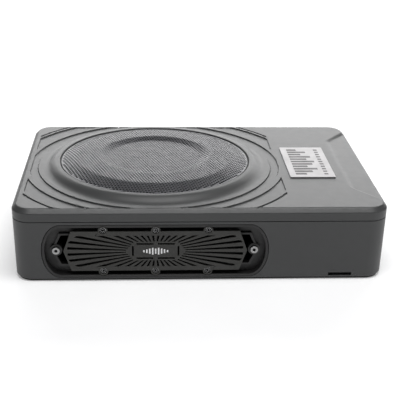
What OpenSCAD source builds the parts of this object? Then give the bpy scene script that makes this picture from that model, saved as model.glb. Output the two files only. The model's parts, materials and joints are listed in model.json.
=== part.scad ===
// Slim under-seat powered car subwoofer: a two-shell plastic housing with a 20 cm driver under a
// domed steel grille, a built-in amplifier, a vent panel in front and a control panel at the back.
// Millimetres. X runs along the width, Y from the vent panel at the front to the controls at the
// back, and Z up. The origin is the middle of the underside.

/* [Housing] */
// Overall width
housing_w = 345; // [343:0.5:350]
// Overall depth, front to back
housing_d = 240; // [239:0.5:244]
// Height of the flat top face
housing_h = 72; // [71.5:0.1:73]
// Wall thickness of both plastic shells
wall = 3; // [2.5:0.1:3.5]
// Radius of the vertical corners
corner_r = 18; // [16:0.5:20]
// Width of the bevel round the top edge
top_bevel = 4; // [3:0.5:5]
// Lean of the side walls, in degrees
draft = 1; // [0.5:0.1:1.5]
// Height of the seam between the two shells
seam_z = 59.7; // [59.7:0.1:60.5]

/* [Driver] */
// Driver axis, across the width
driver_x = -41.5; // [-42.5:0.5:-40]
// Outer radius of the grille mesh
grille_r = 94.6; // [94:0.1:95]
// Radius of the cone at its outer edge
cone_r = 68; // [67:0.5:68]
// Radius of the voice coil former, inside
coil_r = 25; // [24.5:0.1:25.5]
// Number of screws that hold the driver
driver_screw_count = 8; // [6:1:8]

/* [Top pattern] */
// Inner radius of the narrow channel round the collar
near_in_r = 117; // [115:1:118]
// Outer radius of the narrow channel
near_out_r = 125; // [123:1:126]
// Inner radius of the wide channel
far_in_r = 130; // [128:1:132]
// Outer radius of the wide channel
far_out_r = 144; // [142:1:145]
// Left straight limit of the channels
channel_left_x = -164.5; // [-165:0.5:-163]
// Right straight limit of the wide channel and of the groove outside it
channel_right_x = 82; // [80:1:84]
// Size of the name badge across the width
badge_w = 45; // [40:1:48]
// Size of the name badge from front to back
badge_d = 86; // [80:1:90]

/* [Vent panel] */
// Middle of the vent panel, across the width
vent_x = -42; // [-43:0.5:-41]
// Height of the vent panel's middle
vent_z = 30.4; // [30:0.1:30.8]
// Half the length of the vent opening
vent_half_w = 104.2; // [103:0.1:105]
// Half the height of the vent opening
vent_half_h = 26.8; // [26.4:0.1:27]
// Slots in each quarter of the sunburst
rays_per_quarter = 10; // [8:1:11]

/* [Control panel] */
// Middle of the control panel, across the width
panel_x = 82; // [80:1:84]
// Width of the control panel
panel_w = 128; // [127:0.5:129]
// Height of the control panel
panel_h = 48; // [47:0.5:48.5]

/* [Hidden] */

big = 400;
fit_gap = 0.05;

// Housing
plate_t = 2;
gasket_t = 0.6;
gasket_inset = 1;
cover_z = seam_z + gasket_t / 2;
lower_top_z = seam_z - gasket_t / 2;
bevel_z = housing_h - top_bevel;
roof_z = housing_h - wall;
draft_in = (bevel_z - plate_t) * tan(draft);
cavity_w = housing_w - 2 * wall - 2 * draft_in;
cavity_d = housing_d - 2 * wall - 2 * draft_in;
cavity_r = corner_r - wall - draft_in;
ledge_t = 3;
ledge_w = 9;
foot_bevel = 1.5;

// Screw posts that join the two shells: four corners and two in the middle
post_r = 4.6;
post_spots = [[-158, -106], [158, -106], [-158, 106], [158, 106], [72, -110], [8, 110]];
post_hole_r = 2.1;
small_shank_r = 1.25;
small_pilot_r = 1.3;
small_clear_r = 1.7;
post_counterbore_r = 3.9;
post_counterbore_z = 38;
cover_pilot_r = 1.55;

// Bracket points under the base
bracket_dx = 130;
bracket_dy = 95;
bracket_bore_r = 2.1;
bracket_sleeve_r = 3.5;
slot_w = 22;
slot_h = 3.2;
slot_z = 3.9;

// Grille and its collar
mesh_t = 1;
crest_z = 77.5;
crest_in_r = grille_r + 0.5;
crest_round = 1.25;
collar_foot_r = 108.5;
shoulder_r = 100.6;
shoulder_z = 77.1;
ledge_z = 75.4;
mouth_r = 88.5;
mesh_shoulder_r = 77.5;
mesh_ring_r = 55;
mesh_disc_r = 46.5;
mesh_disc_z = 79.4;

// Top pattern
channel_deep = 1.2;
rim_groove_r = 147;
rim_groove_w = 2;
pocket_deep = 2.4;
pocket_ramp = 10;
pocket_in_x = 145;
pocket_half_in = 64;
pocket_slant = 51;
badge_x = 91;
badge_t = 1.2;

// Driver, from the flange down
flange_top_z = 68.2;
flange_r = 104;
driver_bolt_r = 98.5;
spider_shelf_z = 42.4;
basket_floor_z = 30.6;
cone_edge_z = 67.4;
cone_t = 1.2;
neck_z = 47;
former_t = 0.3;
winding_t = 0.8;
cap_r = 30;
cap_dome_r = 64;
cap_t = 0.8;
surround_roll_r = 8.5;
surround_t = 0.8;
surround_mid_r = cone_r + 9.5;
top_plate_r = 50;
top_plate_t = 6;
magnet_r = 54;
magnet_t = 12;
yoke_t = 5.5;
gap_out = 0.5;
pole_r = coil_r - 1;
motor_top_z = basket_floor_z;
magnet_top_z = motor_top_z - top_plate_t;
yoke_top_z = magnet_top_z - magnet_t;

// Vent panel: the front face leans, so its plane is taken at the panel's height
face_y = -(housing_d / 2 - (bevel_z - vent_z) * tan(draft));
bezel_gap = 0.6;
bezel_lip = 2.4;
bezel_depth = 9.8;
bezel_floor_t = 2.5;
bezel_end_r = 18;
outline_steps = 20;
collar_wall = 2.2;
lip_t = 3;
lip_w = 5;
vent_plate_t = 2.6;
vent_plate_y = face_y + 0.3;
vent_plate_back_y = vent_plate_y + vent_plate_t;
bezel_floor_y = face_y + bezel_depth - bezel_floor_t;
bezel_back_y = face_y + bezel_depth;
plate_half_w = 84;
plate_half_h = 19.7;
plate_shoulder_w = 77;
ear_r = 4.4;
boss_r = 4;
ear_dx = 48;
ear_dz = 20.4;
ear_back_y = vent_plate_y + 4.6;
ear_seat_y = vent_plate_y + 3;
ear_counterbore_r = 3.1;
ear_hole_r = 1.6;
big_screw_dx = 90.8;
big_boss_r = 5.6;
big_seat_y = bezel_floor_y - 3.8;
hex_rim_half_w = 95;
hex_rim_shoulder = 88;
hex_rim_half_h = 16.2;
hex_rim_t = 1.8;
hex_rim_rise = 3;
ray_fill = 0.21;
ray_start = 6;
ray_end = 100;
slot_rim = 4.2;
ray_inner_w = 28;
ray_inner_h = 9.4;
emblem_bars = [2.2, 3.6, 5.2, 6.8, 5.2, 6.8, 5.2, 3.6, 2.2];
emblem_pitch = 2.7;
emblem_bar_w = 1.4;

// Amplifier
board_t = 1.6;
board_z = 12;
board_x0 = 66;
board_x1 = 141;
board_y0 = -96;
board_y1 = 76;
board_top = board_z + board_t;
board_spots = [for (x = [board_x0 + 4, board_x1 - 3], y = [-91, -10, 71]) [x, y]];
heatsink_x = 145;
heatsink_t = 4;
heatsink_h = 46;
heatsink_y0 = -92;
heatsink_y1 = 92;
fin_count = 6;
fin_t = 1.6;
fin_reach = 11;
transistor_count = 8;
transistor_pitch = 19;
transistor_w = 10;
transistor_t = 4.5;
transistor_h = 15;
transistor_z = 22;
leg_pitch = 2.54;
standoff_stub_r = 2;
capacitor_spots = [[90, -78], [110, -78], [130, -78], [90, -57], [110, -57], [130, -57]];
capacitor_r = 8;
toroid_round = 2;
capacitor_h = 32;
inductor_spots = [[88, 30], [88, 56], [112, 56]];

// Control panel: a plate set back in a recess of the lower housing
panel_z = 31;
panel_t = 1.6;
panel_y = 106.5;
panel_out_y = panel_y + panel_t;
panel_gap = 0.3;
panel_corner_r = 4;
panel_screw_in = 5;
control_board_y = 91;
upper_row_z = 43;
lower_row_z = 19;
knob_x = [panel_x + 46, panel_x + 27, panel_x + 8];
knob_r = 6;
knob_flutes = 18;
knob_out_y = 117.6;
knob_shaft_r = 3;
pot_bore_r = knob_shaft_r + fit_gap;
switch_x = [panel_x - 14, panel_x - 34];
switch_travel = 1.5;
lever_w = 3;
lever_h = 3.2;
rca_x = [panel_x + 50, panel_x + 34];
rca_r = 4.15;
rca_wall = 0.7;
rca_len = 9;
rca_y = panel_out_y + 1.2;
cutout_gap = 0.1;
socket_x = panel_x + 14;
socket_half_w = 7;
socket_half_h = 5;
remote_x = panel_x - 6;
remote_half_w = 6.5;
remote_half_h = 5.5;
terminal_x = panel_x - 29;
terminal_pitch = 10;
terminal_spots = [for (k = [-1, 0, 1]) terminal_x + k * terminal_pitch];
terminal_half_w = terminal_pitch / 2 - 0.05;
terminal_half_h = 6.5;
terminal_out_y = panel_out_y + 7;
terminal_bore_y = panel_out_y - 6;
terminal_bore_r = 2.6;
terminal_screw_y = panel_out_y + 3.5;
terminal_screw_r = 2;
hex_key_r = 1.1;
fuse_x = panel_x - 50;
fuse_half_w = 3.6;
fuse_below = 6;
fuse_above = 15;
fuse_wall = 1.4;
led_x = panel_x - 52;

function ray_angle(turn) = atan(0.5 * tan(turn * 90 / rays_per_quarter));
function end_curve(side, reach, half_w, half_h) = [
  for (i = [0:outline_steps])
    let (a = -90 + 180 * i / outline_steps)
      [side * (half_w - reach + reach * cos(a)), half_h * side * sin(a)]
];

// Shared shapes

module round_rect(w, d, r) {
  square([w - 2 * r, d], center = true);
  square([w, d - 2 * r], center = true);
  for (x = [-1, 1], y = [-1, 1])
    translate([x * (w / 2 - r), y * (d / 2 - r)])
      circle(r = r, $fn = 48);
}

module housing_corners() {
  for (x = [-1, 1], y = [-1, 1])
    translate([x * (housing_w / 2 - corner_r), y * (housing_d / 2 - corner_r), 0])
      children();
}

// Extrudes an XZ outline from y0 back to y1
module along_y(y0, y1) {
  translate([0, y1, 0])
    rotate([90, 0, 0])
      linear_extrude(height = y1 - y0)
        children();
}

module rod_y(x, z, y0, y1, r) {
  translate([x, y0, z])
    rotate([-90, 0, 0])
      cylinder(r = r, h = y1 - y0, $fn = 40);
}

module rod_z(x, y, z0, z1, r) {
  translate([x, y, z0])
    cylinder(r = r, h = z1 - z0, $fn = 40);
}

module box_at(low, high) {
  translate(low)
    cube(high - low);
}

module ring_z(z0, z1, r_in, r_out) {
  translate([driver_x, 0, z0])
    difference() {
      cylinder(r = r_out, h = z1 - z0, $fn = 128);
      translate([0, 0, -1])
        cylinder(r = r_in, h = z1 - z0 + 2, $fn = 128);
    }
}

module vent_outline(grow) {
  translate([vent_x, vent_z])
    polygon(concat(
      end_curve(1, bezel_end_r + grow, vent_half_w + grow, vent_half_h + grow),
      end_curve(-1, bezel_end_r + grow, vent_half_w + grow, vent_half_h + grow)));
}

module hex_outline(half_w, shoulder, half_h) {
  translate([vent_x, vent_z])
    polygon([
      [half_w, 0], [shoulder, half_h], [-shoulder, half_h],
      [-half_w, 0], [-shoulder, -half_h], [shoulder, -half_h]]);
}

module panel_outline(grow) {
  translate([panel_x, panel_z])
    round_rect(panel_w + 2 * grow, panel_h + 2 * grow, panel_corner_r + max(grow, 0));
}

module socket_screw_y(x, z, seat_y, head_r, head_h, shank_r, tip_y) {
  difference() {
    union() {
      rod_y(x, z, seat_y - head_h, seat_y, head_r);
      rod_y(x, z, seat_y - 0.1, tip_y, shank_r);
    }
    translate([x, seat_y - head_h - 1, z])
      rotate([-90, 0, 0])
        cylinder(r = head_r * 0.5, h = 1 + head_h * 0.6, $fn = 6);
  }
}

// Housing

module upper_shell_solid() {
  hull()
    housing_corners() {
      translate([0, 0, cover_z])
        cylinder(
          r1 = corner_r - (bevel_z - cover_z) * tan(draft), r2 = corner_r,
          h = bevel_z - cover_z, $fn = 64);
      translate([0, 0, bevel_z])
        cylinder(r1 = corner_r, r2 = corner_r - top_bevel, h = top_bevel, $fn = 64);
    }
}

module collar() {
  translate([driver_x, 0, 0])
    rotate_extrude($fn = 180) {
      polygon([
        [mouth_r, roof_z], [collar_foot_r, roof_z], [collar_foot_r, housing_h],
        [shoulder_r, shoulder_z], [crest_in_r + crest_round, crest_z],
        [crest_in_r, crest_z - crest_round], [crest_in_r, ledge_z], [mouth_r, ledge_z]]);
      translate([crest_in_r + crest_round, crest_z - crest_round])
        circle(r = crest_round, $fn = 32);
    }
}

// Ring cut into the top face, between the left limit and a limit on the right
module ring_cut(in_r, out_r, right_x) {
  intersection() {
    translate([driver_x, 0, housing_h - channel_deep])
      difference() {
        cylinder(r = out_r, h = 5, $fn = 180);
        translate([0, 0, -1])
          cylinder(r = in_r, h = 7, $fn = 180);
      }
    translate([channel_left_x, -housing_d, 0])
      cube([right_x - channel_left_x, 2 * housing_d, big]);
  }
}

module top_cuts() {
  ring_cut(near_in_r, near_out_r, housing_w);
  ring_cut(far_in_r, far_out_r, channel_right_x);
  ring_cut(rim_groove_r, rim_groove_r + rim_groove_w, channel_right_x);
  pocket();
}

// Shallow pocket on the right: slanted ends, and a floor that ramps down from its inner edge
module pocket() {
  floor_z = housing_h - pocket_deep;
  half_out = pocket_half_in + (housing_w - pocket_in_x) * tan(pocket_slant);
  intersection() {
    linear_extrude(height = big)
      polygon([
        [pocket_in_x, -pocket_half_in], [housing_w, -half_out], [housing_w, half_out],
        [pocket_in_x, pocket_half_in]]);
    translate([0, housing_d, 0])
      rotate([90, 0, 0])
        linear_extrude(height = 2 * housing_d)
          polygon([
            [pocket_in_x - 1, housing_h + pocket_deep / pocket_ramp],
            [pocket_in_x + pocket_ramp, floor_z], [housing_w, floor_z],
            [housing_w, big], [pocket_in_x - 1, big]]);
  }
}

module upper_cover() {
  color("dimgray")
    difference() {
      union() {
        difference() {
          upper_shell_solid();
          translate([0, 0, -1])
            linear_extrude(height = roof_z + 1)
              round_rect(housing_w - 2 * wall - 1, housing_d - 2 * wall - 1, corner_r - wall);
          top_cuts();
        }
        collar();
        for (p = post_spots)
          rod_z(p[0], p[1], cover_z, roof_z + 0.5, post_r);
      }
      translate([driver_x, 0, roof_z - 1])
        cylinder(r = mouth_r, h = big, $fn = 180);
      for (p = post_spots)
        rod_z(p[0], p[1], cover_z - 1, roof_z, cover_pilot_r);
      for (i = [0:driver_screw_count - 1])
        driver_spot(i)
          rod_z(0, 0, roof_z - 1, roof_z + 4.2, cover_pilot_r);
    }
}

module driver_spot(i) {
  translate([driver_x, 0, 0])
    rotate([0, 0, 22.5 + 360 * i / driver_screw_count])
      translate([driver_bolt_r, 0, 0])
        children();
}

module lower_shell_solid() {
  r_top = corner_r - (bevel_z - lower_top_z) * tan(draft);
  r_low = corner_r - draft_in;
  hull()
    housing_corners() {
      translate([0, 0, plate_t])
        cylinder(r1 = r_low - foot_bevel, r2 = r_low, h = foot_bevel, $fn = 64);
      translate([0, 0, plate_t + foot_bevel])
        cylinder(r1 = r_low, r2 = r_top, h = lower_top_z - plate_t - foot_bevel, $fn = 64);
    }
}

module vent_collar() {
  intersection() {
    along_y(face_y + 2, bezel_back_y + lip_t)
      vent_outline(collar_wall);
    translate([-big / 2, -big / 2, plate_t])
      cube(big);
  }
}

module panel_collar() {
  along_y(panel_y - lip_t, housing_d / 2 - 2)
    panel_outline(collar_wall + panel_gap);
}

module bracket_slots() {
  box_at(
    [bracket_dx - slot_w / 2, -housing_d, slot_z],
    [bracket_dx + slot_w / 2, -cavity_d / 2 + 1, slot_z + slot_h]);
  box_at(
    [-bracket_dx - slot_w / 2, cavity_d / 2 - 1, slot_z],
    [-bracket_dx + slot_w / 2, housing_d, slot_z + slot_h]);
}

module lower_housing() {
  color("dimgray")
    difference() {
      union() {
        difference() {
          lower_shell_solid();
          translate([0, 0, plate_t + ledge_t])
            linear_extrude(height = big)
              round_rect(cavity_w, cavity_d, cavity_r);
          linear_extrude(height = big)
            round_rect(cavity_w - 2 * ledge_w, cavity_d - 2 * ledge_w, cavity_r);
        }
        vent_collar();
        panel_collar();
        for (p = post_spots)
          rod_z(p[0], p[1], plate_t, lower_top_z, post_r);
      }
      along_y(-housing_d, bezel_back_y)
        vent_outline(0);
      along_y(bezel_back_y - 1, -housing_d / 2 + 30)
        vent_outline(-lip_w - bezel_lip);
      along_y(panel_y, housing_d)
        panel_outline(panel_gap);
      along_y(panel_y - lip_t - 1, panel_y + 1)
        panel_window();
      for (side = [-1, 1])
        rod_y(vent_x + side * big_screw_dx, vent_z, bezel_back_y - 1, bezel_back_y + 10, 1.95);
      for (p = post_spots) {
        rod_z(p[0], p[1], 0, lower_top_z + 1, post_hole_r);
        rod_z(p[0], p[1], 0, post_counterbore_z, post_counterbore_r);
      }
      for (p = base_screw_spots())
        rod_z(p[0], p[1], 0, plate_t + ledge_t + 1, small_pilot_r);
      for (p = panel_screw_spots())
        rod_y(p[0], p[1], panel_y - lip_t - 1, panel_y + 1, small_pilot_r);
      bracket_slots();
    }
}

// The window in the recess's inner lip leaves a tab at each corner for the panel's screws
module panel_window() {
  difference() {
    translate([panel_x, panel_z])
      square([panel_w - 4, panel_h - 4], center = true);
    for (p = panel_screw_spots())
      translate([p[0], p[1]])
        circle(r = 4.5, $fn = 40);
  }
}

function panel_screw_spots() = [
  for (x = [-1, 1], z = [-1, 1])
    [panel_x + x * (panel_w / 2 - panel_screw_in), panel_z + z * (panel_h / 2 - panel_screw_in)]
];

function base_screw_spots() = concat(
  [for (x = [-110, -30, 50, 110], y = [-1, 1]) [x, y * (cavity_d / 2 - 4.5)]],
  [for (x = [-1, 1], y = [-50, 50]) [x * (cavity_w / 2 - 4.5), y]]);

module base_plate() {
  color("black")
    difference() {
      linear_extrude(height = plate_t)
        round_rect(cavity_w + 1, cavity_d + 1, cavity_r + 0.5);
      for (p = base_screw_spots())
        translate([p[0], p[1], 0]) {
          translate([0, 0, -1])
            cylinder(r = small_clear_r, h = plate_t + 2, $fn = 40);
          translate([0, 0, -0.01])
            cylinder(r1 = small_clear_r + 1.4, r2 = small_clear_r, h = 1.4, $fn = 40);
        }
      for (x = [-1, 1], y = [-1, 1])
        rod_z(x * bracket_dx, y * bracket_dy, -1, plate_t + 1, bracket_sleeve_r + 0.02);
      for (p = board_spots)
        rod_z(p[0], p[1], -1, plate_t + 1, standoff_stub_r + 0.02);
      for (p = heatsink_screw_spots())
        rod_z(p[0], p[1], -1, plate_t + 1, small_pilot_r);
    }
}

function heatsink_screw_spots() = [for (y = [-80, 0, 80]) [heatsink_x + 10, y]];

module housing_gasket() {
  color("black")
    translate([0, 0, lower_top_z])
      difference() {
        linear_extrude(height = gasket_t)
          round_rect(
            housing_w - 2 * gasket_inset, housing_d - 2 * gasket_inset, corner_r - gasket_inset);
        translate([0, 0, -1])
          linear_extrude(height = gasket_t + 2)
            round_rect(housing_w - 2 * wall - 1, housing_d - 2 * wall - 1, corner_r - wall);
      }
}

module cover_screws() {
  color("silver")
    for (p = post_spots) {
      difference() {
        rod_z(p[0], p[1], post_counterbore_z - 3, post_counterbore_z, 3.4);
        translate([p[0], p[1], post_counterbore_z - 4])
          cylinder(r = 1.7, h = 2.6, $fn = 6);
      }
      rod_z(p[0], p[1], post_counterbore_z - 0.1, roof_z - 1, 1.5);
    }
}

module base_plate_screws() {
  color("silver")
    for (p = base_screw_spots())
      difference() {
        union() {
          translate([p[0], p[1], 0.1])
            cylinder(r1 = 2.8, r2 = 1.4, h = 1.35, $fn = 40);
          rod_z(p[0], p[1], 1.2, plate_t + ledge_t - 1, small_shank_r);
        }
        translate([p[0], p[1], -0.5])
          cylinder(r = 1.1, h = 1.4, $fn = 6);
      }
}

module bracket_nuts() {
  color("silver")
    for (x = [-1, 1], y = [-1, 1])
      difference() {
        union() {
          rod_z(x * bracket_dx, y * bracket_dy, 0, plate_t, bracket_sleeve_r);
          rod_z(x * bracket_dx, y * bracket_dy, plate_t, plate_t + 4.5, bracket_sleeve_r + 1);
        }
        rod_z(x * bracket_dx, y * bracket_dy, -1, plate_t + 6, bracket_bore_r);
      }
}

module grille_mesh() {
  top_line = [
    [0, mesh_disc_z], [mesh_disc_r, mesh_disc_z], [mesh_ring_r, 82], [mesh_shoulder_r, 81],
    [grille_r - 3.2, ledge_z + mesh_t + 0.6], [grille_r - 2.6, ledge_z + mesh_t],
    [grille_r, ledge_z + mesh_t]];
  n = len(top_line) - 1;
  color("gray")
    translate([driver_x, 0, 0])
      rotate_extrude($fn = 180)
        polygon(concat(
          top_line,
          [for (i = [0:n]) [top_line[n - i][0], top_line[n - i][1] - mesh_t]]));
}

module name_badge() {
  color("gainsboro")
    translate([badge_x + badge_w / 2, 0, housing_h])
      linear_extrude(height = badge_t)
        round_rect(badge_w, badge_d, 1.2);
}

// Vent panel

module boss_spots() {
  for (x = [-1, 0, 1], z = [-1, 1])
    translate([vent_x + x * ear_dx, vent_z + z * ear_dz])
      children();
}

// A rod along Y at each of the six bosses
module boss_rods(y0, y1, r) {
  for (x = [-1, 0, 1], z = [-1, 1])
    rod_y(vent_x + x * ear_dx, vent_z + z * ear_dz, y0, y1, r);
}

module front_bezel() {
  color("black")
    difference() {
      union() {
        difference() {
          along_y(face_y, bezel_back_y)
            vent_outline(-bezel_gap);
          along_y(face_y - 1, bezel_floor_y) {
            vent_outline(-bezel_gap - bezel_lip);
            boss_spots()
              circle(r = ear_r + 0.3, $fn = 40);
          }
        }
        along_y(bezel_floor_y - hex_rim_rise, bezel_floor_y + 1)
          hex_outline(hex_rim_half_w, hex_rim_shoulder, hex_rim_half_h);
        boss_rods(ear_back_y, bezel_floor_y + 1, boss_r);
        for (side = [-1, 1])
          rod_y(vent_x + side * big_screw_dx, vent_z, big_seat_y, bezel_back_y, big_boss_r);
      }
      difference() {
        along_y(face_y - 1, bezel_back_y + 1)
          hex_outline(
            hex_rim_half_w - hex_rim_t, hex_rim_shoulder - hex_rim_t,
            hex_rim_half_h - hex_rim_t);
        for (side = [-1, 1])
          rod_y(
            vent_x + side * big_screw_dx, vent_z, bezel_floor_y - 20, bezel_back_y + 5, big_boss_r);
      }
      for (side = [-1, 1])
        rod_y(vent_x + side * big_screw_dx, vent_z, face_y - 5, bezel_back_y + 5, 2.2);
      boss_rods(ear_back_y - 1, bezel_back_y - 0.6, small_pilot_r);
    }
}

// One tapered slot of the sunburst, between the two angles
module ray(a0, a1) {
  polygon([
    [ray_start * cos(a0), ray_start * sin(a0)], [ray_end * cos(a0), ray_end * sin(a0)],
    [ray_end * cos(a1), ray_end * sin(a1)], [ray_start * cos(a1), ray_start * sin(a1)]]);
}

module sunburst() {
  top_z = plate_half_h - slot_rim;
  top_x = plate_shoulder_w - slot_rim - 0.8;
  side_x = plate_half_w - slot_rim - 0.3;
  side_z = 9;
  end_x = plate_half_w - slot_rim + 1;
  inner_x = ray_inner_w - 8;
  difference() {
    intersection() {
      for (i = [0:rays_per_quarter - 1])
        let (a0 = ray_angle(i + 0.5 - ray_fill), a1 = ray_angle(i + 0.5 + ray_fill)) {
          ray(a0, a1);
          ray(180 - a1, 180 - a0);
          ray(180 + a0, 180 + a1);
          ray(-a1, -a0);
        }
      polygon([
        [end_x, 0], [side_x, side_z], [top_x, top_z], [-top_x, top_z], [-side_x, side_z],
        [-end_x, 0], [-side_x, -side_z], [-top_x, -top_z], [top_x, -top_z], [side_x, -side_z]]);
    }
    polygon([
      [ray_inner_w, 0], [inner_x, ray_inner_h], [-inner_x, ray_inner_h],
      [-ray_inner_w, 0], [-inner_x, -ray_inner_h], [inner_x, -ray_inner_h]]);
  }
}

module centre_frame_slots() {
  for (x = [-1, 1], z = [-1, 1])
    translate([x * 9.8, z * 7.2])
      square([15.4, 1.6], center = true);
  for (x = [-1, 1])
    translate([x * 20.8, 0])
      square([1.6, 10], center = true);
}

module vent_grille() {
  color("dimgray")
    difference() {
      union() {
        along_y(vent_plate_y, vent_plate_back_y)
          difference() {
            union() {
              hex_outline(plate_half_w, plate_shoulder_w, plate_half_h);
              boss_spots()
                circle(r = ear_r, $fn = 40);
            }
            translate([vent_x, vent_z]) {
              sunburst();
              centre_frame_slots();
            }
          }
        boss_rods(vent_plate_back_y - 1, ear_back_y, boss_r);
      }
      boss_rods(vent_plate_y - 1, ear_seat_y, ear_counterbore_r);
      boss_rods(vent_plate_y - 1, ear_back_y + 1, ear_hole_r);
    }
}

module vent_emblem() {
  color("white")
    for (i = [0:len(emblem_bars) - 1])
      let (x = vent_x + (i - (len(emblem_bars) - 1) / 2) * emblem_pitch, h = emblem_bars[i])
        box_at(
          [x - emblem_bar_w / 2, vent_plate_y - 0.3, vent_z - h / 2],
          [x + emblem_bar_w / 2, vent_plate_y, vent_z + h / 2]);
}

module vent_grille_screws() {
  color("silver")
    for (x = [-1, 0, 1], z = [-1, 1])
      socket_screw_y(
        vent_x + x * ear_dx, vent_z + z * ear_dz, ear_seat_y, 2.7, 1.8, small_shank_r,
        bezel_back_y - 0.8);
}

module bezel_screws() {
  color("silver")
    for (side = [-1, 1])
      socket_screw_y(
        vent_x + side * big_screw_dx, vent_z, big_seat_y, 3.4, 2.2, 1.9, bezel_back_y + lip_t);
}

// Driver

module basket() {
  color("dimgray")
    difference() {
      translate([driver_x, 0, 0])
        rotate_extrude($fn = 128)
          polygon([
            [flange_r, flange_top_z], [flange_r, flange_top_z - 2.6], [94, flange_top_z - 2.6],
            [66, 40], [57, 40], [53.5, basket_floor_z], [27.5, basket_floor_z],
            [27.5, basket_floor_z + 2.4], [51.7, basket_floor_z + 2.4],
            [55.3, spider_shelf_z], [64.6, spider_shelf_z], [mouth_r, flange_top_z - 3.4],
            [mouth_r, flange_top_z]]);
      for (i = [0:5])
        translate([driver_x, 0, 0])
          rotate([0, 0, 30 + 60 * i])
            translate([60, -26, 46])
              cube([40, 52, 14]);
      for (i = [0:driver_screw_count - 1])
        driver_spot(i)
          rod_z(0, 0, flange_top_z - 4, flange_top_z + 1, 2);
    }
}

module basket_gasket() {
  color("black")
    difference() {
      ring_z(flange_top_z, roof_z, 90.2, flange_r - 0.6);
      for (i = [0:driver_screw_count - 1])
        driver_spot(i)
          rod_z(0, 0, flange_top_z - 1, roof_z + 1, 2);
    }
}

module surround() {
  color("black")
    translate([driver_x, 0, 0])
      rotate_extrude($fn = 128) {
        difference() {
          translate([surround_mid_r, flange_top_z])
            circle(r = surround_roll_r, $fn = 48);
          translate([surround_mid_r, flange_top_z])
            circle(r = surround_roll_r - surround_t, $fn = 48);
          translate([0, flange_top_z - 20])
            square([200, 20]);
        }
        translate([cone_r - 2.5, cone_edge_z])
          square([4.3, flange_top_z - cone_edge_z + 0.1]);
        translate([surround_mid_r + surround_roll_r - surround_t, flange_top_z])
          square([mouth_r + 1.3 - surround_mid_r - surround_roll_r + surround_t, 0.8]);
      }
}

module cone() {
  color("black")
    translate([driver_x, 0, 0])
      rotate_extrude($fn = 128)
        polygon([
          [coil_r + former_t + 0.1, neck_z], [coil_r + 6, neck_z + 1], [cone_r - 2, cone_edge_z - 2],
          [cone_r, cone_edge_z - cone_t], [cone_r, cone_edge_z], [cone_r - 3, cone_edge_z],
          [coil_r + 5.6, neck_z + 3], [coil_r + former_t + 0.1, neck_z + 2]]);
}

module dust_cap() {
  base = sqrt(pow(cap_dome_r, 2) - pow(cap_r, 2));
  edge_z = neck_z + 3.6;
  steps = 12;
  tilt = asin(cap_r / cap_dome_r);
  function arc(r) = [
    for (i = [0:steps])
      [r * sin(tilt * i / steps), edge_z - base + r * cos(tilt * i / steps)]];
  outer = arc(cap_dome_r);
  inner = arc(cap_dome_r - cap_t);
  color("black")
    translate([driver_x, 0, 0])
      rotate_extrude($fn = 96)
        polygon(concat(outer, [for (i = [0:steps]) inner[steps - i]]));
}

// A pleated disc from the former to the basket's shelf
module spider() {
  steps = 48;
  r0 = coil_r + former_t + fit_gap;
  r1 = 64;
  pleats = 5;
  flat_from = 57;
  function wave(r) =
    r > flat_from ? 0 : -1.1 * sin((r - r0) * 360 * pleats / (flat_from - r0));
  rs = [for (i = [0:steps]) r0 + (r1 - r0) * i / steps];
  z = spider_shelf_z;
  color("tan")
    translate([driver_x, 0, 0])
      rotate_extrude($fn = 96)
        polygon(concat(
          [for (i = [0:steps]) [rs[i], z + wave(rs[i])]],
          [for (i = [0:steps]) [rs[steps - i], z + 0.7 + wave(rs[steps - i])]]));
}

module coil_former() {
  color("silver")
    ring_z(19.5, neck_z + 3, coil_r, coil_r + former_t);
}

module voice_coil() {
  color("peru")
    ring_z(20, 35, coil_r + former_t, coil_r + former_t + winding_t);
}

module top_plate() {
  color("gray")
    ring_z(magnet_top_z, motor_top_z, coil_r + former_t + winding_t + gap_out, top_plate_r);
}

module magnet() {
  color("dimgray")
    ring_z(yoke_top_z, magnet_top_z, 31, magnet_r);
}

module yoke() {
  color("gray")
    translate([driver_x, 0, 0])
      difference() {
        union() {
          translate([0, 0, yoke_top_z - yoke_t])
            cylinder(r = top_plate_r, h = yoke_t, $fn = 128);
          translate([0, 0, yoke_top_z - 0.1])
            cylinder(r = pole_r, h = motor_top_z - yoke_top_z + 0.1, $fn = 96);
        }
        translate([0, 0, yoke_top_z - yoke_t - 1])
          cylinder(r = 7, h = 60, $fn = 64);
      }
}

module driver_screws() {
  color("silver")
    for (i = [0:driver_screw_count - 1])
      driver_spot(i) {
        rod_z(0, 0, flange_top_z - 5, flange_top_z - 2.6, 3.2);
        rod_z(0, 0, flange_top_z - 2.7, roof_z + 3.6, 1.5);
      }
}

module terminal_strip() {
  color("peru") {
    box_at([driver_x + 94.6, -9, 52], [driver_x + 96.2, 9, flange_top_z - 2.6]);
    for (y = [-5, 5])
      box_at([driver_x + 96.2, y - 2, 53], [driver_x + 97, y + 2, 62]);
  }
}

// Two insulated wires from the driver's terminals to the amplifier board
module speaker_lead() {
  x0 = driver_x + 98.2;
  x1 = 74;
  color("firebrick")
    for (y = [-5, 5]) {
      rod_z(x0, y, 24, 61, 1.1);
      translate([x0, y, 24])
        sphere(r = 1.1, $fn = 32);
      translate([x0, y, 24])
        rotate([0, 90, 0])
          cylinder(r = 1.1, h = x1 - x0, $fn = 40);
      translate([x1, y, 24])
        sphere(r = 1.1, $fn = 32);
      rod_z(x1, y, board_top, 24, 1.1);
    }
}

// Amplifier

module amplifier_board() {
  color("seagreen")
    difference() {
      box_at([board_x0, board_y0, board_z], [board_x1, board_y1, board_top]);
      for (p = board_spots)
        rod_z(p[0], p[1], board_z - 1, board_top + 1, small_clear_r);
    }
}

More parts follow.
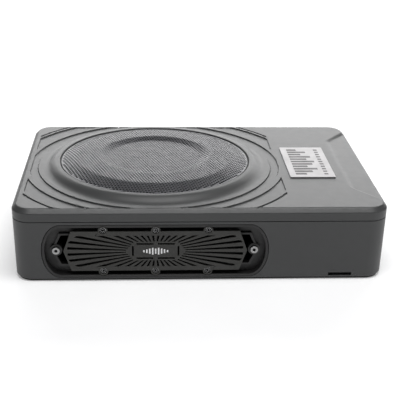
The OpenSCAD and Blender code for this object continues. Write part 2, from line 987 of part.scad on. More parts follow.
module board_standoffs() {
  color("silver")
    for (p = board_spots)
      difference() {
        union() {
          rod_z(p[0], p[1], plate_t, board_z, 3);
          rod_z(p[0], p[1], 0.1, plate_t + 0.1, standoff_stub_r);
        }
        rod_z(p[0], p[1], plate_t + 2, board_z + 1, small_pilot_r);
      }
}

module amplifier_screws() {
  color("silver") {
    for (p = board_spots) {
      rod_z(p[0], p[1], board_top, board_top + 2, 2.8);
      rod_z(p[0], p[1], board_z - 4, board_top + 0.1, small_shank_r);
    }
    for (p = heatsink_screw_spots()) {
      rod_z(p[0], p[1], plate_t + 3, plate_t + 5, 2.8);
      rod_z(p[0], p[1], 0.4, plate_t + 3.1, small_shank_r);
    }
  }
}

module toroid(x, y, r_out, r_in, h) {
  translate([x, y, board_top])
    rotate_extrude($fn = 64)
      translate([(r_out + r_in) / 2, h / 2]) {
        square([r_out - r_in - 2 * toroid_round, h], center = true);
        square([r_out - r_in, h - 2 * toroid_round], center = true);
        for (x = [-1, 1], z = [-1, 1])
          translate([x * ((r_out - r_in) / 2 - toroid_round), z * (h / 2 - toroid_round)])
            circle(r = toroid_round, $fn = 32);
      }
}

module transformer() {
  color("peru")
    toroid(100, -14, 24, 9, 24);
}

module filter_inductors() {
  color("goldenrod")
    for (p = inductor_spots)
      toroid(p[0], p[1], 10, 4, 11);
}

module capacitors() {
  color("darkslateblue")
    for (p = capacitor_spots)
      rod_z(p[0], p[1], board_top, board_top + capacitor_h, capacitor_r);
}

function transistor_y(i) =
  (heatsink_y0 + heatsink_y1) / 2 + (i - (transistor_count - 1) / 2) * transistor_pitch - 10;

module power_transistors() {
  color("black")
    for (i = [0:transistor_count - 1])
      let (y = transistor_y(i)) {
        box_at(
          [heatsink_x - transistor_t, y - transistor_w / 2, transistor_z],
          [heatsink_x, y + transistor_w / 2, transistor_z + transistor_h]);
        for (k = [-1, 0, 1])
          box_at(
            [board_x1 - 1.9, y + k * leg_pitch - 0.4, board_top],
            [board_x1 - 1.1, y + k * leg_pitch + 0.4, transistor_z + 2]);
        for (k = [-1, 0, 1])
          box_at(
            [board_x1 - 1.9, y + k * leg_pitch - 0.4, transistor_z + 1.2],
            [heatsink_x - transistor_t + 0.5, y + k * leg_pitch + 0.4, transistor_z + 2]);
      }
}

module transistor_clamp() {
  color("silver")
    box_at(
      [heatsink_x - transistor_t - 1.2, transistor_y(0) - 8, transistor_z + 6],
      [heatsink_x - transistor_t, transistor_y(transistor_count - 1) + 8, transistor_z + 12]);
}

module heatsink() {
  color("silver")
    difference() {
      union() {
        box_at(
          [heatsink_x, heatsink_y0, plate_t], [heatsink_x + heatsink_t, heatsink_y1, heatsink_h]);
        box_at(
          [heatsink_x, heatsink_y0, plate_t],
          [heatsink_x + heatsink_t + fin_reach - 1, heatsink_y1, plate_t + 3]);
        for (i = [1:fin_count])
          let (z = plate_t + 3 + i * (heatsink_h - plate_t - 3 - fin_t) / fin_count)
            box_at(
              [heatsink_x + heatsink_t - 0.1, heatsink_y0, z],
              [heatsink_x + heatsink_t + fin_reach, heatsink_y1, z + fin_t]);
      }
      for (p = heatsink_screw_spots()) {
        rod_z(p[0], p[1], 0, plate_t + 4, small_pilot_r);
        rod_z(p[0], p[1], plate_t + 4, heatsink_h + 1, 3.2);
      }
    }
}

// Control panel

module control_board() {
  color("seagreen")
    box_at(
      [panel_x - 48, control_board_y - board_t, board_z - 2],
      [panel_x + 57, control_board_y, upper_row_z + 9]);
}

// A rectangular hole through the panel, a hair larger than the socket in it
module panel_cut(x, half_w, below, above) {
  box_at(
    [x - half_w - cutout_gap, panel_y - 1, lower_row_z + below - cutout_gap],
    [x + half_w + cutout_gap, panel_out_y + 1, lower_row_z + above + cutout_gap]);
}

module rear_panel() {
  color("black")
    difference() {
      along_y(panel_y, panel_out_y)
        panel_outline(0);
      for (p = panel_screw_spots())
        rod_y(p[0], p[1], panel_y - 1, panel_out_y + 1, small_clear_r);
      for (x = knob_x)
        rod_y(x, upper_row_z, panel_y - 1, panel_out_y + 1, knob_shaft_r + 0.5);
      for (x = switch_x)
        box_at(
          [x - lever_w / 2 - switch_travel - 0.5, panel_y - 1, upper_row_z - lever_h / 2 - 0.5],
          [x + lever_w / 2 + switch_travel + 0.5, panel_out_y + 1, upper_row_z + lever_h / 2 + 0.5]);
      for (x = rca_x)
        rod_y(x, lower_row_z, panel_y - 1, panel_out_y + 1, rca_r + cutout_gap);
      panel_cut(socket_x, socket_half_w, -socket_half_h, socket_half_h);
      panel_cut(remote_x, remote_half_w, -remote_half_h, remote_half_h);
      panel_cut(terminal_x, 1.5 * terminal_pitch, -terminal_half_h, terminal_half_h);
      panel_cut(fuse_x, fuse_half_w, -fuse_below, fuse_above);
      rod_y(led_x, upper_row_z + 4, panel_y - 1, panel_out_y + 1, 1.6);
    }
}

module rear_panel_screws() {
  color("silver")
    for (p = panel_screw_spots())
      difference() {
        union() {
          rod_y(p[0], p[1], panel_out_y, panel_out_y + 1.8, 2.7);
          rod_y(p[0], p[1], panel_y - lip_t, panel_out_y + 0.1, small_shank_r);
        }
        box_at(
          [p[0] - 1.6, panel_out_y + 1, p[1] - 0.35], [p[0] + 1.6, panel_out_y + 3, p[1] + 0.35]);
        box_at(
          [p[0] - 0.35, panel_out_y + 1, p[1] - 1.6], [p[0] + 0.35, panel_out_y + 3, p[1] + 1.6]);
      }
}

module potentiometers() {
  color("gray")
    for (x = knob_x)
      difference() {
        union() {
          box_at([x - 6, control_board_y, upper_row_z - 6], [x + 6, panel_y - 4.5, upper_row_z + 6]);
          rod_y(x, upper_row_z, control_board_y, panel_y, 4.4);
        }
        rod_y(x, upper_row_z, control_board_y + 2.7, panel_y + 1, pot_bore_r);
      }
}

module knob(x) {
  color("black")
    difference() {
      union() {
        rod_y(x, upper_row_z, panel_out_y + 0.6, knob_out_y, knob_r);
        rod_y(x, upper_row_z, control_board_y + 3, panel_out_y + 0.7, knob_shaft_r);
      }
      box_at(
        [x - 0.5, knob_out_y - 0.8, upper_row_z + 1], [x + 0.5, knob_out_y + 1, upper_row_z + 7]);
      for (i = [0:knob_flutes - 1])
        translate([x, knob_out_y + 1, upper_row_z])
          rotate([90, 0, 0])
            rotate([0, 0, (i + 0.5) * 360 / knob_flutes])
              translate([knob_r + 0.25, 0, 0])
                cylinder(r = 0.6, h = 7, $fn = 16);
    }
}

module gain_knob() {
  knob(knob_x[0]);
}

module lowpass_knob() {
  knob(knob_x[1]);
}

module bass_boost_knob() {
  knob(knob_x[2]);
}

module switch_bodies() {
  color("dimgray")
    for (x = switch_x)
      difference() {
        box_at(
          [x - 6, control_board_y, upper_row_z - 3.4], [x + 6, panel_y, upper_row_z + 3.4]);
        box_at(
          [x - lever_w / 2 - switch_travel - 0.8, panel_y - 5, upper_row_z - lever_h / 2 - 0.4],
          [x + lever_w / 2 + switch_travel + 0.8, panel_y + 1, upper_row_z + lever_h / 2 + 0.4]);
      }
}

module switch_lever(x) {
  color("white")
    box_at(
      [x - switch_travel - lever_w / 2, panel_y - 4.6, upper_row_z - lever_h / 2],
      [x - switch_travel + lever_w / 2, panel_out_y + 3, upper_row_z + lever_h / 2]);
}

module phase_switch_lever() {
  switch_lever(switch_x[0]);
}

module auto_on_switch_lever() {
  switch_lever(switch_x[1]);
}

module rca_shells() {
  color("silver")
    for (x = rca_x)
      difference() {
        union() {
          rod_y(x, lower_row_z, panel_y - 6, rca_y + rca_len, rca_r);
          rod_y(x, lower_row_z, panel_out_y, rca_y, rca_r + 1.4);
        }
        rod_y(x, lower_row_z, panel_y - 7, rca_y + rca_len + 1, rca_r - rca_wall);
      }
}

module rca_insulators() {
  color("white")
    for (x = rca_x)
      difference() {
        rod_y(x, lower_row_z, control_board_y, panel_out_y + 4, rca_r - rca_wall - 0.02);
        rod_y(x, lower_row_z, control_board_y - 1, panel_out_y + 5, 2.2);
      }
}

module rca_contacts() {
  color("gold")
    for (x = rca_x)
      difference() {
        rod_y(x, lower_row_z, control_board_y, panel_out_y + 5, 2.15);
        rod_y(x, lower_row_z, panel_out_y - 5, panel_out_y + 6, 1.6);
      }
}

module shroud(x, half_w, half_h, wall_t, floor_y, mouth_y) {
  difference() {
    box_at(
      [x - half_w, control_board_y, lower_row_z - half_h],
      [x + half_w, mouth_y, lower_row_z + half_h]);
    box_at(
      [x - half_w + wall_t, floor_y, lower_row_z - half_h + wall_t],
      [x + half_w - wall_t, mouth_y + 1, lower_row_z + half_h - wall_t]);
  }
}

module high_level_socket() {
  color("ivory")
    difference() {
      shroud(socket_x, socket_half_w, socket_half_h, 1, panel_y - 6, panel_out_y + 4);
      for (k = [-1.5:1:1.5])
        rod_y(socket_x + k * 2.8, lower_row_z, control_board_y - 1, panel_y, 0.55);
    }
}

module remote_socket() {
  color("black")
    shroud(remote_x, remote_half_w, remote_half_h, 1.2, panel_y - 8, panel_out_y + 1.5);
}

module socket_pins() {
  color("gold") {
    for (k = [-1.5:1:1.5])
      rod_y(socket_x + k * 2.8, lower_row_z, control_board_y, panel_out_y + 1.5, 0.5);
    for (k = [-1.5:1:1.5])
      box_at(
        [remote_x + k * 1.3 - 0.3, panel_y - 8, lower_row_z - 4.3],
        [remote_x + k * 1.3 + 0.3, panel_out_y, lower_row_z - 3.7]);
  }
}

// Three single-pole modules that stand side by side
module power_terminal_block() {
  color("black")
    for (x = terminal_spots)
      difference() {
        box_at(
          [x - terminal_half_w, control_board_y, lower_row_z - terminal_half_h],
          [x + terminal_half_w, terminal_out_y, lower_row_z + terminal_half_h]);
        rod_y(x, lower_row_z - 1, terminal_bore_y, terminal_out_y + 1, terminal_bore_r);
        rod_z(
          x, terminal_screw_y, lower_row_z + 1, lower_row_z + terminal_half_h + 1,
          terminal_screw_r + fit_gap);
      }
}

module terminal_screws() {
  color("silver")
    for (x = terminal_spots)
      difference() {
        rod_z(x, terminal_screw_y, lower_row_z + 2, lower_row_z + 6.2, terminal_screw_r);
        translate([x, terminal_screw_y, lower_row_z + 4.5])
          cylinder(r = hex_key_r, h = 3, $fn = 6);
      }
}

module fuse_holder() {
  color("black")
    difference() {
      box_at(
        [fuse_x - fuse_half_w, panel_y - 9, lower_row_z - fuse_below],
        [fuse_x + fuse_half_w, panel_out_y + 1.5, lower_row_z + fuse_above]);
      box_at(
        [fuse_x - 2.1, panel_y - 7, lower_row_z - fuse_below + fuse_wall],
        [fuse_x + 2.1, panel_out_y + 2, lower_row_z + fuse_above - fuse_wall]);
    }
}

module fuse() {
  color("green") {
    box_at(
      [fuse_x - 1.9, panel_out_y - 4, lower_row_z - fuse_below + fuse_wall + 0.2],
      [fuse_x + 1.9, panel_out_y + 4, lower_row_z + fuse_above - fuse_wall - 0.2]);
    for (z = [-3, 7])
      box_at(
        [fuse_x - 0.4, panel_y - 6.5, lower_row_z + z],
        [fuse_x + 0.4, panel_out_y - 3.9, lower_row_z + z + 5]);
  }
}

module power_led() {
  color("deepskyblue") {
    rod_y(led_x, upper_row_z + 4, panel_y - 4, panel_out_y + 0.4, 1.5);
    translate([led_x, panel_out_y + 0.4, upper_row_z + 4])
      sphere(r = 1.5, $fn = 32);
  }
}

upper_cover();
lower_housing();
base_plate();
housing_gasket();
cover_screws();
base_plate_screws();
bracket_nuts();
grille_mesh();
name_badge();
front_bezel();
vent_grille();
vent_emblem();
vent_grille_screws();
bezel_screws();
basket();
basket_gasket();
surround();
cone();
dust_cap();
spider();
coil_former();
voice_coil();
top_plate();
magnet();
yoke();
driver_screws();
terminal_strip();
speaker_lead();
amplifier_board();
board_standoffs();
amplifier_screws();
transformer();
filter_inductors();
capacitors();
power_transistors();
transistor_clamp();
heatsink();
control_board();
rear_panel();
rear_panel_screws();
potentiometers();
gain_knob();
lowpass_knob();
bass_boost_knob();
switch_bodies();
phase_switch_lever();
auto_on_switch_lever();
rca_shells();
rca_insulators();
rca_contacts();
high_level_socket();
remote_socket();
socket_pins();
power_terminal_block();
terminal_screws();
fuse_holder();
fuse();
power_led();
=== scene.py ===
"""The looks of the powered car subwoofer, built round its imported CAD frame.

Shapes are worked out in millimetres and turned into metres as each mesh is made.
"""

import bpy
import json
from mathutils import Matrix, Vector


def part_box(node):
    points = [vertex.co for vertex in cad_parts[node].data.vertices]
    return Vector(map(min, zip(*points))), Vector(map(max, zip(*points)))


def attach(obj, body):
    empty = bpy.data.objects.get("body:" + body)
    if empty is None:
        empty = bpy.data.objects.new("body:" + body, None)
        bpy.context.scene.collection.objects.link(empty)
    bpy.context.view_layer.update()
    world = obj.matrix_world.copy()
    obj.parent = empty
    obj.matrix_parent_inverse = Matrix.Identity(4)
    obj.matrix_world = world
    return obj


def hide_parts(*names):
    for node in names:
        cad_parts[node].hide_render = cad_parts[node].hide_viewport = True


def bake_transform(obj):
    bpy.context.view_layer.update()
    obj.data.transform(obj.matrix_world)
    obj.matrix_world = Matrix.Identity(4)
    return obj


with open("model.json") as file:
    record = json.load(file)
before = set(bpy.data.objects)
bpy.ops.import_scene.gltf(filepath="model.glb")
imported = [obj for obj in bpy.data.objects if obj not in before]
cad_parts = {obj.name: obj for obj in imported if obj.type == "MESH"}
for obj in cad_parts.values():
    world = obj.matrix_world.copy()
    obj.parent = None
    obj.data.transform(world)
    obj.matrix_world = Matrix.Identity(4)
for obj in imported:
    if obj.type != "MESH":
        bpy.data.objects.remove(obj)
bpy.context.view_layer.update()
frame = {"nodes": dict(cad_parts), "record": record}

import json
import math

import bmesh
import bpy
import numpy as np
from mathutils import Euler, Vector
from mathutils.geometry import delaunay_2d_cdt

MM = 0.001


def span(node):
    """The node's lowest and highest corner, in millimetres."""
    low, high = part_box(node)
    return np.array(low) / MM, np.array(high) / MM


cover_low, cover_high = span("upper_cover")
mesh_low, mesh_high = span("grille_mesh")
badge_low, badge_high = span("name_badge")
panel_back_y = span("rear_panel")[1][1]
surround_z = span("surround")[0][2]
spider_low, spider_high = span("spider")

SLOT_OF = {s["node"]: s["material_slot"] for s in frame["record"]["subparts"]}
KNOBS = ("gain_knob", "lowpass_knob", "bass_boost_knob")
LEVERS = ("phase_switch_lever", "auto_on_switch_lever")

# Housing
HALF_W = cover_high[0]
HALF_D = cover_high[1]
CORNER_R = 18
TOP_BEVEL = 4
BEVEL_SOFT = 0.9  # how far the bevel's upper edge is rounded
EDGE_INSET = 0.4  # where the top face's mesh ends, on the bevel
TOP_Z = badge_low[2]
BEVEL_Z = TOP_Z - TOP_BEVEL
SEAM_Z = cover_low[2]
WALL = 3
ROOF_Z = TOP_Z - WALL
DRAFT = math.tan(math.radians(1))
POSTS = [(-158, -106), (158, -106), (-158, 106), (158, 106), (72, -110), (8, 110)]
POST_R = 4.6
POST_HOLE_R = 1.55

# Driver and its collar
DRIVER_X = (mesh_low[0] + mesh_high[0]) / 2
MESH_R = (mesh_high[0] - mesh_low[0]) / 2
CREST_R = 1.25
CREST_Z = cover_high[2] - CREST_R
CREST_MID_R = MESH_R + 0.5 + CREST_R
SHOULDER = (100.6, 77.1)
LEDGE_Z = 75.4
MOUTH_R = 88.5
FOOT_R = 108.5
FOOT_SOFT = 3.4  # how far the bend at the foot reaches out over the flat
SLOPE_SOFT = 4  # and how far each bend reaches along the slope
JOIN_R = 112  # where the collar's mesh meets the top face's
RING_STEPS = 360

# Pattern pressed into the top: ring channels, as (inner radius, outer radius, right end).
# The first is too small to be clipped on the right.
CHANNEL_LEFT_X = -164.5
CHANNEL_RIGHT_X = 82
CHANNELS = [(117, 125, 172), (130, 144, CHANNEL_RIGHT_X), (147, 149, CHANNEL_RIGHT_X)]
CLIP_HALF = 88  # how far the clipped ends reach each way along Y
CHANNEL_DEEP = 1.2
CHANNEL_SOFT = 0.25
CHANNEL_FADE = 1.2  # the channels run out over this distance before the bevel
# A pocket on the right, with slanted ends and a floor that falls in a step and a long slope
POCKET_X = 144
POCKET_HALF = 67.2
POCKET_TURN = math.radians(51)
POCKET_DEEP = 2.4
POCKET_STEP = 0.62  # the step's share of the depth
POCKET_STEP_W = 6.5
POCKET_SLOPE_W = 34
POCKET_RISER = 4.6

# Grille: hexagonal holes in rows, inside FIELD_R, on a dome given as (radius, height)
PITCH = 3.0
HOLE_FLAT = 2.1
HOLE_TURN = math.radians(50)
FIELD_R = 93.9
MESH_T = 1
DOME = [(0, 79.4), (46.5, 79.4), (55, 82), (77.5, 81), (91.4, 77), (92.0, 76.4), (94.6, 76.4)]
DOME_SOFT = 1.1
RIM_SHADE_R = (93.2, 94.2)  # painted shade on the rim where the collar holds it: darker and rougher between these radii

# Small details
PRINT_EDGE = 0.04
SOCKET_DEEP = 1.2


# Meshes


def new_piece(name, points, faces, body, material, smooth=True):
    """A mesh from points in millimetres, riding on a body."""
    mesh = bpy.data.meshes.new(name)
    mesh.from_pydata((np.asarray(points, float) * MM).tolist(), [], faces)
    bm = bmesh.new()
    bm.from_mesh(mesh)
    bmesh.ops.remove_doubles(bm, verts=bm.verts, dist=2e-6)
    bmesh.ops.dissolve_degenerate(bm, edges=bm.edges, dist=1e-7)
    bmesh.ops.recalc_face_normals(bm, faces=bm.faces)
    bm.to_mesh(mesh)
    bm.free()
    mesh.materials.append(material)
    if smooth:
        mesh.shade_smooth()
    piece = bpy.data.objects.new(name, mesh)
    bpy.context.scene.collection.objects.link(piece)
    if body:
        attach(piece, body)
    return piece


def even_normals(piece):
    weight = piece.modifiers.new("weighted", "WEIGHTED_NORMAL")
    weight.keep_sharp = True


class Build:
    """Collects the points and faces of one mesh."""

    def __init__(self):
        self.points = []
        self.faces = []

    def add(self, points):
        """Adds points and gives the number of the first."""
        start = len(self.points)
        self.points.extend([tuple(p) for p in points])
        return start

    def strip(self, rows):
        """Quads between each pair of closed rows, which all have the same number of points."""
        n = len(rows[0])
        starts = [self.add(row) for row in rows]
        for a, b in zip(starts, starts[1:]):
            for i in range(n):
                j = (i + 1) % n
                self.faces.append((a + i, a + j, b + j, b + i))

    def sheet(self, flat, z, faces, flip=False):
        """A face made of triangles in plan, at height z."""
        start = self.add(np.column_stack([flat, z]))
        order = -1 if flip else 1
        self.faces.extend([tuple(int(i) + start for i in f[::order]) for f in faces])

    def cap(self, row):
        start = self.add(row)
        self.faces.append(tuple(range(start, start + len(row))))


def lathe_row(r, z, steps=RING_STEPS, x=DRIVER_X, y=0.0):
    """A ring of points round the driver's axis, or round x, y."""
    turn = np.arange(steps) * 2 * math.pi / steps
    return np.column_stack(
        [x + r * np.cos(turn), y + r * np.sin(turn), np.full(steps, float(z))])


def outline(inset, step=3.0, arc_steps=20):
    """The housing's rounded rectangle, inset, with the same number of points each time."""
    cx, cy, r = HALF_W - CORNER_R, HALF_D - CORNER_R, CORNER_R - inset
    ends = [(1, 1, 0), (-1, 1, 90), (-1, -1, 180), (1, -1, 270)]
    points = []
    for k, (sx, sy, start) in enumerate(ends):
        for i in range(arc_steps + 1):
            a = math.radians(start + 90 * i / arc_steps)
            points.append((sx * cx + r * math.cos(a), sy * cy + r * math.sin(a)))
        nx, ny, turn = ends[(k + 1) % 4]
        a = math.radians(turn)
        goal = np.array([nx * cx + r * math.cos(a), ny * cy + r * math.sin(a)])
        here = np.array(points[-1])
        steps = round(2 * (cx if k % 2 == 0 else cy) / step)
        points.extend(here + (goal - here) * i / steps for i in range(1, steps))
    return np.array(points)


def outline_row(inset, z):
    flat = outline(inset)
    return np.column_stack([flat, np.full(len(flat), float(z))])


def grid_points(xs, ys):
    """The points of a grid in plan."""
    grid_x, grid_y = np.meshgrid(xs, ys)
    return np.column_stack([grid_x.ravel(), grid_y.ravel()])


def smoothstep(t):
    t = np.clip(t, 0, 1)
    return t * t * (3 - 2 * t)


def dig(inside, soft):
    """0 outside and 1 inside, turning over soft millimetres each side of the edge."""
    return smoothstep((inside + soft) / (2 * soft))


def smooth_min(a, b, k):
    """The lesser of a and b, with the change between them rounded over k."""
    h = np.clip(0.5 + 0.5 * (b - a) / k, 0, 1)
    return b * (1 - h) + a * h - k * h * (1 - h)


def inset_of(x, y):
    """How far a point lies inside the housing's outline."""
    qx, qy = np.abs(x) - (HALF_W - CORNER_R), np.abs(y) - (HALF_D - CORNER_R)
    outside = np.hypot(np.maximum(qx, 0), np.maximum(qy, 0))
    return CORNER_R - outside - np.minimum(np.maximum(qx, qy), 0)


def channel_inside(x, y):
    """How far a point lies inside the nearest of the ring channels."""
    r = np.hypot(x - DRIVER_X, y)
    depths = []
    for inner, outer, right_x in CHANNELS:
        limits = np.minimum(x - CHANNEL_LEFT_X, right_x - x)
        depths.append(np.minimum(np.minimum(outer - r, r - inner), limits))
    return np.max(depths, axis=0)


def pocket_inside(x, y):
    """How far a point lies inside the two slanted ends of the pocket on the right."""
    reach = POCKET_HALF + (x - POCKET_X) * math.tan(POCKET_TURN)
    return (reach - np.abs(y)) * math.cos(POCKET_TURN)


def pocket_depth(x, y):
    step = POCKET_STEP * smoothstep((x - POCKET_X) / POCKET_STEP_W)
    slope = (1 - POCKET_STEP) * smoothstep((x - POCKET_X) / POCKET_SLOPE_W)
    return POCKET_DEEP * smoothstep(pocket_inside(x, y) / POCKET_RISER) * (step + slope)


def top_height(x, y):
    inset = inset_of(x, y)
    fade = smoothstep((inset - TOP_BEVEL - 0.2) / CHANNEL_FADE)
    channel = CHANNEL_DEEP * dig(channel_inside(x, y), CHANNEL_SOFT) * fade
    flat = TOP_Z - channel - pocket_depth(x, y)
    return smooth_min(flat, BEVEL_Z + inset, BEVEL_SOFT)


def rows_beside(a, b, offsets, step):
    """Points along the line a to b, repeated at offsets to its side."""
    a, b = np.array(a, float), np.array(b, float)
    along = (b - a) / np.linalg.norm(b - a)
    side = np.array([-along[1], along[0]])
    t = np.arange(0, np.linalg.norm(b - a) + step / 2, step)
    return np.vstack([a + np.outer(t, along) + side * o for o in offsets])


def top_points():
    """Points for the top face: rows along every edge, and a grid on the flats."""
    beside = (-0.7, -0.26, -0.12, 0, 0.12, 0.26, 0.7)
    loose = [lathe_row(r + o, 0)[:, :2] for ring in CHANNELS for r in ring[:2] for o in beside]
    patch = np.arange(-1.5, 1.51, 0.25)
    for x, first in ((CHANNEL_LEFT_X, 0), (CHANNEL_RIGHT_X, 1)):
        loose.append(rows_beside((x, -CLIP_HALF), (x, CLIP_HALF), beside, 0.7))
        for ring in CHANNELS[first:]:
            for r in ring[:2]:
                y = math.sqrt(max(r ** 2 - (x - DRIVER_X) ** 2, 0))
                loose += [grid_points(x + patch, side * y + patch) for side in (-1, 1)]
    lean = math.tan(POCKET_TURN)
    offsets = np.arange(-0.6, POCKET_RISER + 0.7, 0.45)
    for side in (-1, 1):
        loose.append(rows_beside(
            (POCKET_X - 2, side * (POCKET_HALF - 2 * lean)),
            (HALF_W, side * (POCKET_HALF + (HALF_W - POCKET_X) * lean)), offsets * -side, 0.9))
    for inset in (0.8, 1.2, 1.6, 2.0, 2.6, 3.2, 3.6, 4.0, 4.4, 4.8, 5.4):
        loose.append(outline(inset))
    loose.append(grid_points(
        np.arange(-HALF_W + 3, HALF_W, 4.0), np.arange(-HALF_D + 3, HALF_D, 4.0)))
    loose.append(grid_points(
        np.arange(POCKET_X - 2, POCKET_X + POCKET_STEP_W + 12, 1.3), np.arange(-76, 76.1, 2.5)))
    loose = np.vstack(loose)
    keep = inset_of(loose[:, 0], loose[:, 1]) > EDGE_INSET + 0.15
    keep &= np.hypot(loose[:, 0] - DRIVER_X, loose[:, 1]) > JOIN_R + 0.6
    return loose[keep]


def plan_triangles(points, hole_r, epsilon=0.02):
    """Delaunay triangles over the points, leaving out the driver's hole."""
    made = delaunay_2d_cdt([Vector(p) for p in points], [], [], 0, epsilon)
    flat = np.array([tuple(v) for v in made[0]])
    faces = np.array(made[2])
    on_hole = np.hypot(flat[:, 0] - DRIVER_X, flat[:, 1]) < hole_r + 0.01
    return flat, faces[~on_hole[faces].all(axis=1)]


def bend(start, corner, end, steps=8):
    """Points round a soft corner."""
    return [tuple(start * (1 - t) ** 2 + 2 * corner * t * (1 - t) + end * t * t)
            for t in np.linspace(0, 1, steps + 1)]


def collar_profile():
    """The collar's section: flat pad, slope, broad crest, and down to the driver's mouth."""
    foot = np.array([FOOT_R, TOP_Z])
    shoulder = np.array(SHOULDER)
    crest = np.array([CREST_MID_R, CREST_Z + CREST_R])
    slope = (shoulder - foot) / np.linalg.norm(shoulder - foot)
    section = [(JOIN_R, foot[1])]
    section += bend(foot + np.array([FOOT_SOFT, 0]), foot, foot + slope * SLOPE_SOFT)
    section += bend(shoulder - slope * SLOPE_SOFT, shoulder, (shoulder + crest) / 2)
    for degrees in range(84, 181, 12):
        a = math.radians(degrees)
        section.append((CREST_MID_R + CREST_R * math.cos(a), CREST_Z + CREST_R * math.sin(a)))
    inner = CREST_MID_R - CREST_R
    section += [
        (inner, LEDGE_Z + 0.25), (inner - 0.08, LEDGE_Z + 0.08), (inner - 0.25, LEDGE_Z),
        (MOUTH_R + 0.5, LEDGE_Z), (MOUTH_R + 0.15, LEDGE_Z - 0.15), (MOUTH_R, LEDGE_Z - 0.5),
        (MOUTH_R, ROOF_Z)]
    return section


def tube(build, x, y, low, high, outer, inner, steps=40, edge=0.3):
    """An upright tube whose lower rims are broken by edge."""
    build.strip([lathe_row(r, z, steps, x, y) for r, z in (
        (outer, high), (outer, low + edge), (outer - edge, low), (inner + edge, low),
        (inner, low + edge), (inner, high), (outer, high))])


def cover_side(rim_z):
    """The cover's rim, as (inset, z): round the bevel's foot, down, under and up inside."""
    fall = BEVEL_Z - SEAM_Z
    lean = fall * DRAFT
    inner = WALL + 0.5
    return [(EDGE_INSET, rim_z), (0.16, BEVEL_Z + 0.12), (0.04, BEVEL_Z - 0.2),
            (0.01, BEVEL_Z - 0.6), (lean * 0.5, BEVEL_Z - fall * 0.5), (lean, SEAM_Z + 0.35),
            (lean + 0.1, SEAM_Z + 0.1), (lean + 0.35, SEAM_Z), (inner - 0.2, SEAM_Z),
            (inner, SEAM_Z + 0.2), (inner, ROOF_Z)]


def make_upper_cover(material):
    """Top face, collar, rim and ceiling, which share their edge points, and the screw posts."""
    build = Build()
    ring = lathe_row(JOIN_R, 0)[:, :2]
    flat, faces = plan_triangles(np.vstack([outline(EDGE_INSET), ring, top_points()]), JOIN_R)
    x, y = flat.T
    heights = top_height(x, y)
    heights[np.abs(np.hypot(x - DRIVER_X, y) - JOIN_R) < 0.01] = TOP_Z
    rim_z = BEVEL_Z + EDGE_INSET
    heights[np.abs(inset_of(x, y) - EDGE_INSET) < 0.01] = rim_z
    build.sheet(flat, heights, faces)
    build.strip([lathe_row(r, z) for r, z in collar_profile()])
    side = cover_side(rim_z)
    build.strip([outline_row(inset, z) for inset, z in side])
    mouth = lathe_row(MOUTH_R, 0)[:, :2]
    grid = grid_points(np.arange(-160, 161, 16.0), np.arange(-108, 109, 12.0))
    grid = grid[np.hypot(grid[:, 0] - DRIVER_X, grid[:, 1]) > MOUTH_R + 4]
    flat, faces = plan_triangles(np.vstack([outline(side[-1][0]), mouth, grid]), MOUTH_R)
    build.sheet(flat, np.full(len(flat), float(ROOF_Z)), faces, flip=True)
    for x, y in POSTS:
        tube(build, x, y, SEAM_Z, ROOF_Z + 0.5, POST_R, POST_HOLE_R)
    piece = new_piece(
        "upper_cover_shell", build.points, build.faces, "housing", material)
    piece.data.set_sharp_from_angle(angle=math.radians(42))
    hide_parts("upper_cover")
    even_normals(piece)


# Grille


def dome_z(r):
    """Height of the grille's upper face, with its bends rounded off."""
    radii, heights = zip(*DOME)
    spread = np.linspace(-DOME_SOFT, DOME_SOFT, 7)
    return np.mean([np.interp(np.abs(r + o), radii, heights) for o in spread], axis=0)


def honeycomb():
    """Hexagonal holes and the webs between them, in plan, and the loop round them all."""
    corner = HOLE_FLAT / math.sqrt(3)
    reach = FIELD_R - PITCH * 0.62
    count = int(reach / PITCH * 1.2) + 2
    step_a, step_b = (np.array([math.cos(turn), math.sin(turn)]) * PITCH
                      for turn in (HOLE_TURN, HOLE_TURN + math.radians(60)))
    cells, points = {}, []
    for j in range(-count, count + 1):
        for i in range(-count * 2, count * 2 + 1):
            middle = i * step_a + j * step_b
            if np.hypot(*middle) > reach:
                continue
            cells[i, j] = len(points)
            for k in range(6):
                a = HOLE_TURN + math.radians(30 + 60 * k)
                points.append(middle + corner * np.array([math.cos(a), math.sin(a)]))
    webs, holes = [], []
    for (i, j), c in cells.items():
        right, up, left = (cells.get(k) for k in ((i + 1, j), (i, j + 1), (i - 1, j + 1)))
        holes.append([c + k for k in range(6)])
        if right is not None:
            webs.append((c + 5, right + 3, right + 2, c))
        if up is not None:
            webs.append((c, up + 4, up + 3, c + 1))
        if left is not None:
            webs.append((c + 1, left + 5, left + 4, c + 2))
        if right is not None and up is not None:
            webs.append((c, right + 2, up + 4))
        if up is not None and left is not None:
            webs.append((c + 1, up + 3, left + 5))
    used = {}
    for face in webs + holes:
        for a, b in zip(face, face[1:] + face[:1]):
            key = (min(a, b), max(a, b))
            used[key] = used.get(key, 0) + 1
    return np.array(points), webs, holes, [e for e, n in used.items() if n == 1]


def inside_loop(points, edges, corners):
    """Which points lie inside the closed loop of edges, by counting crossings."""
    inside = np.zeros(len(points), bool)
    for a, b in edges:
        (ax, ay), (bx, by) = corners[a], corners[b]
        crosses = (ay > points[:, 1]) != (by > points[:, 1])
        at = ax + (points[:, 1] - ay) * (bx - ax) / (by - ay if by != ay else 1)
        inside ^= crosses & (points[:, 0] < at)
    return inside


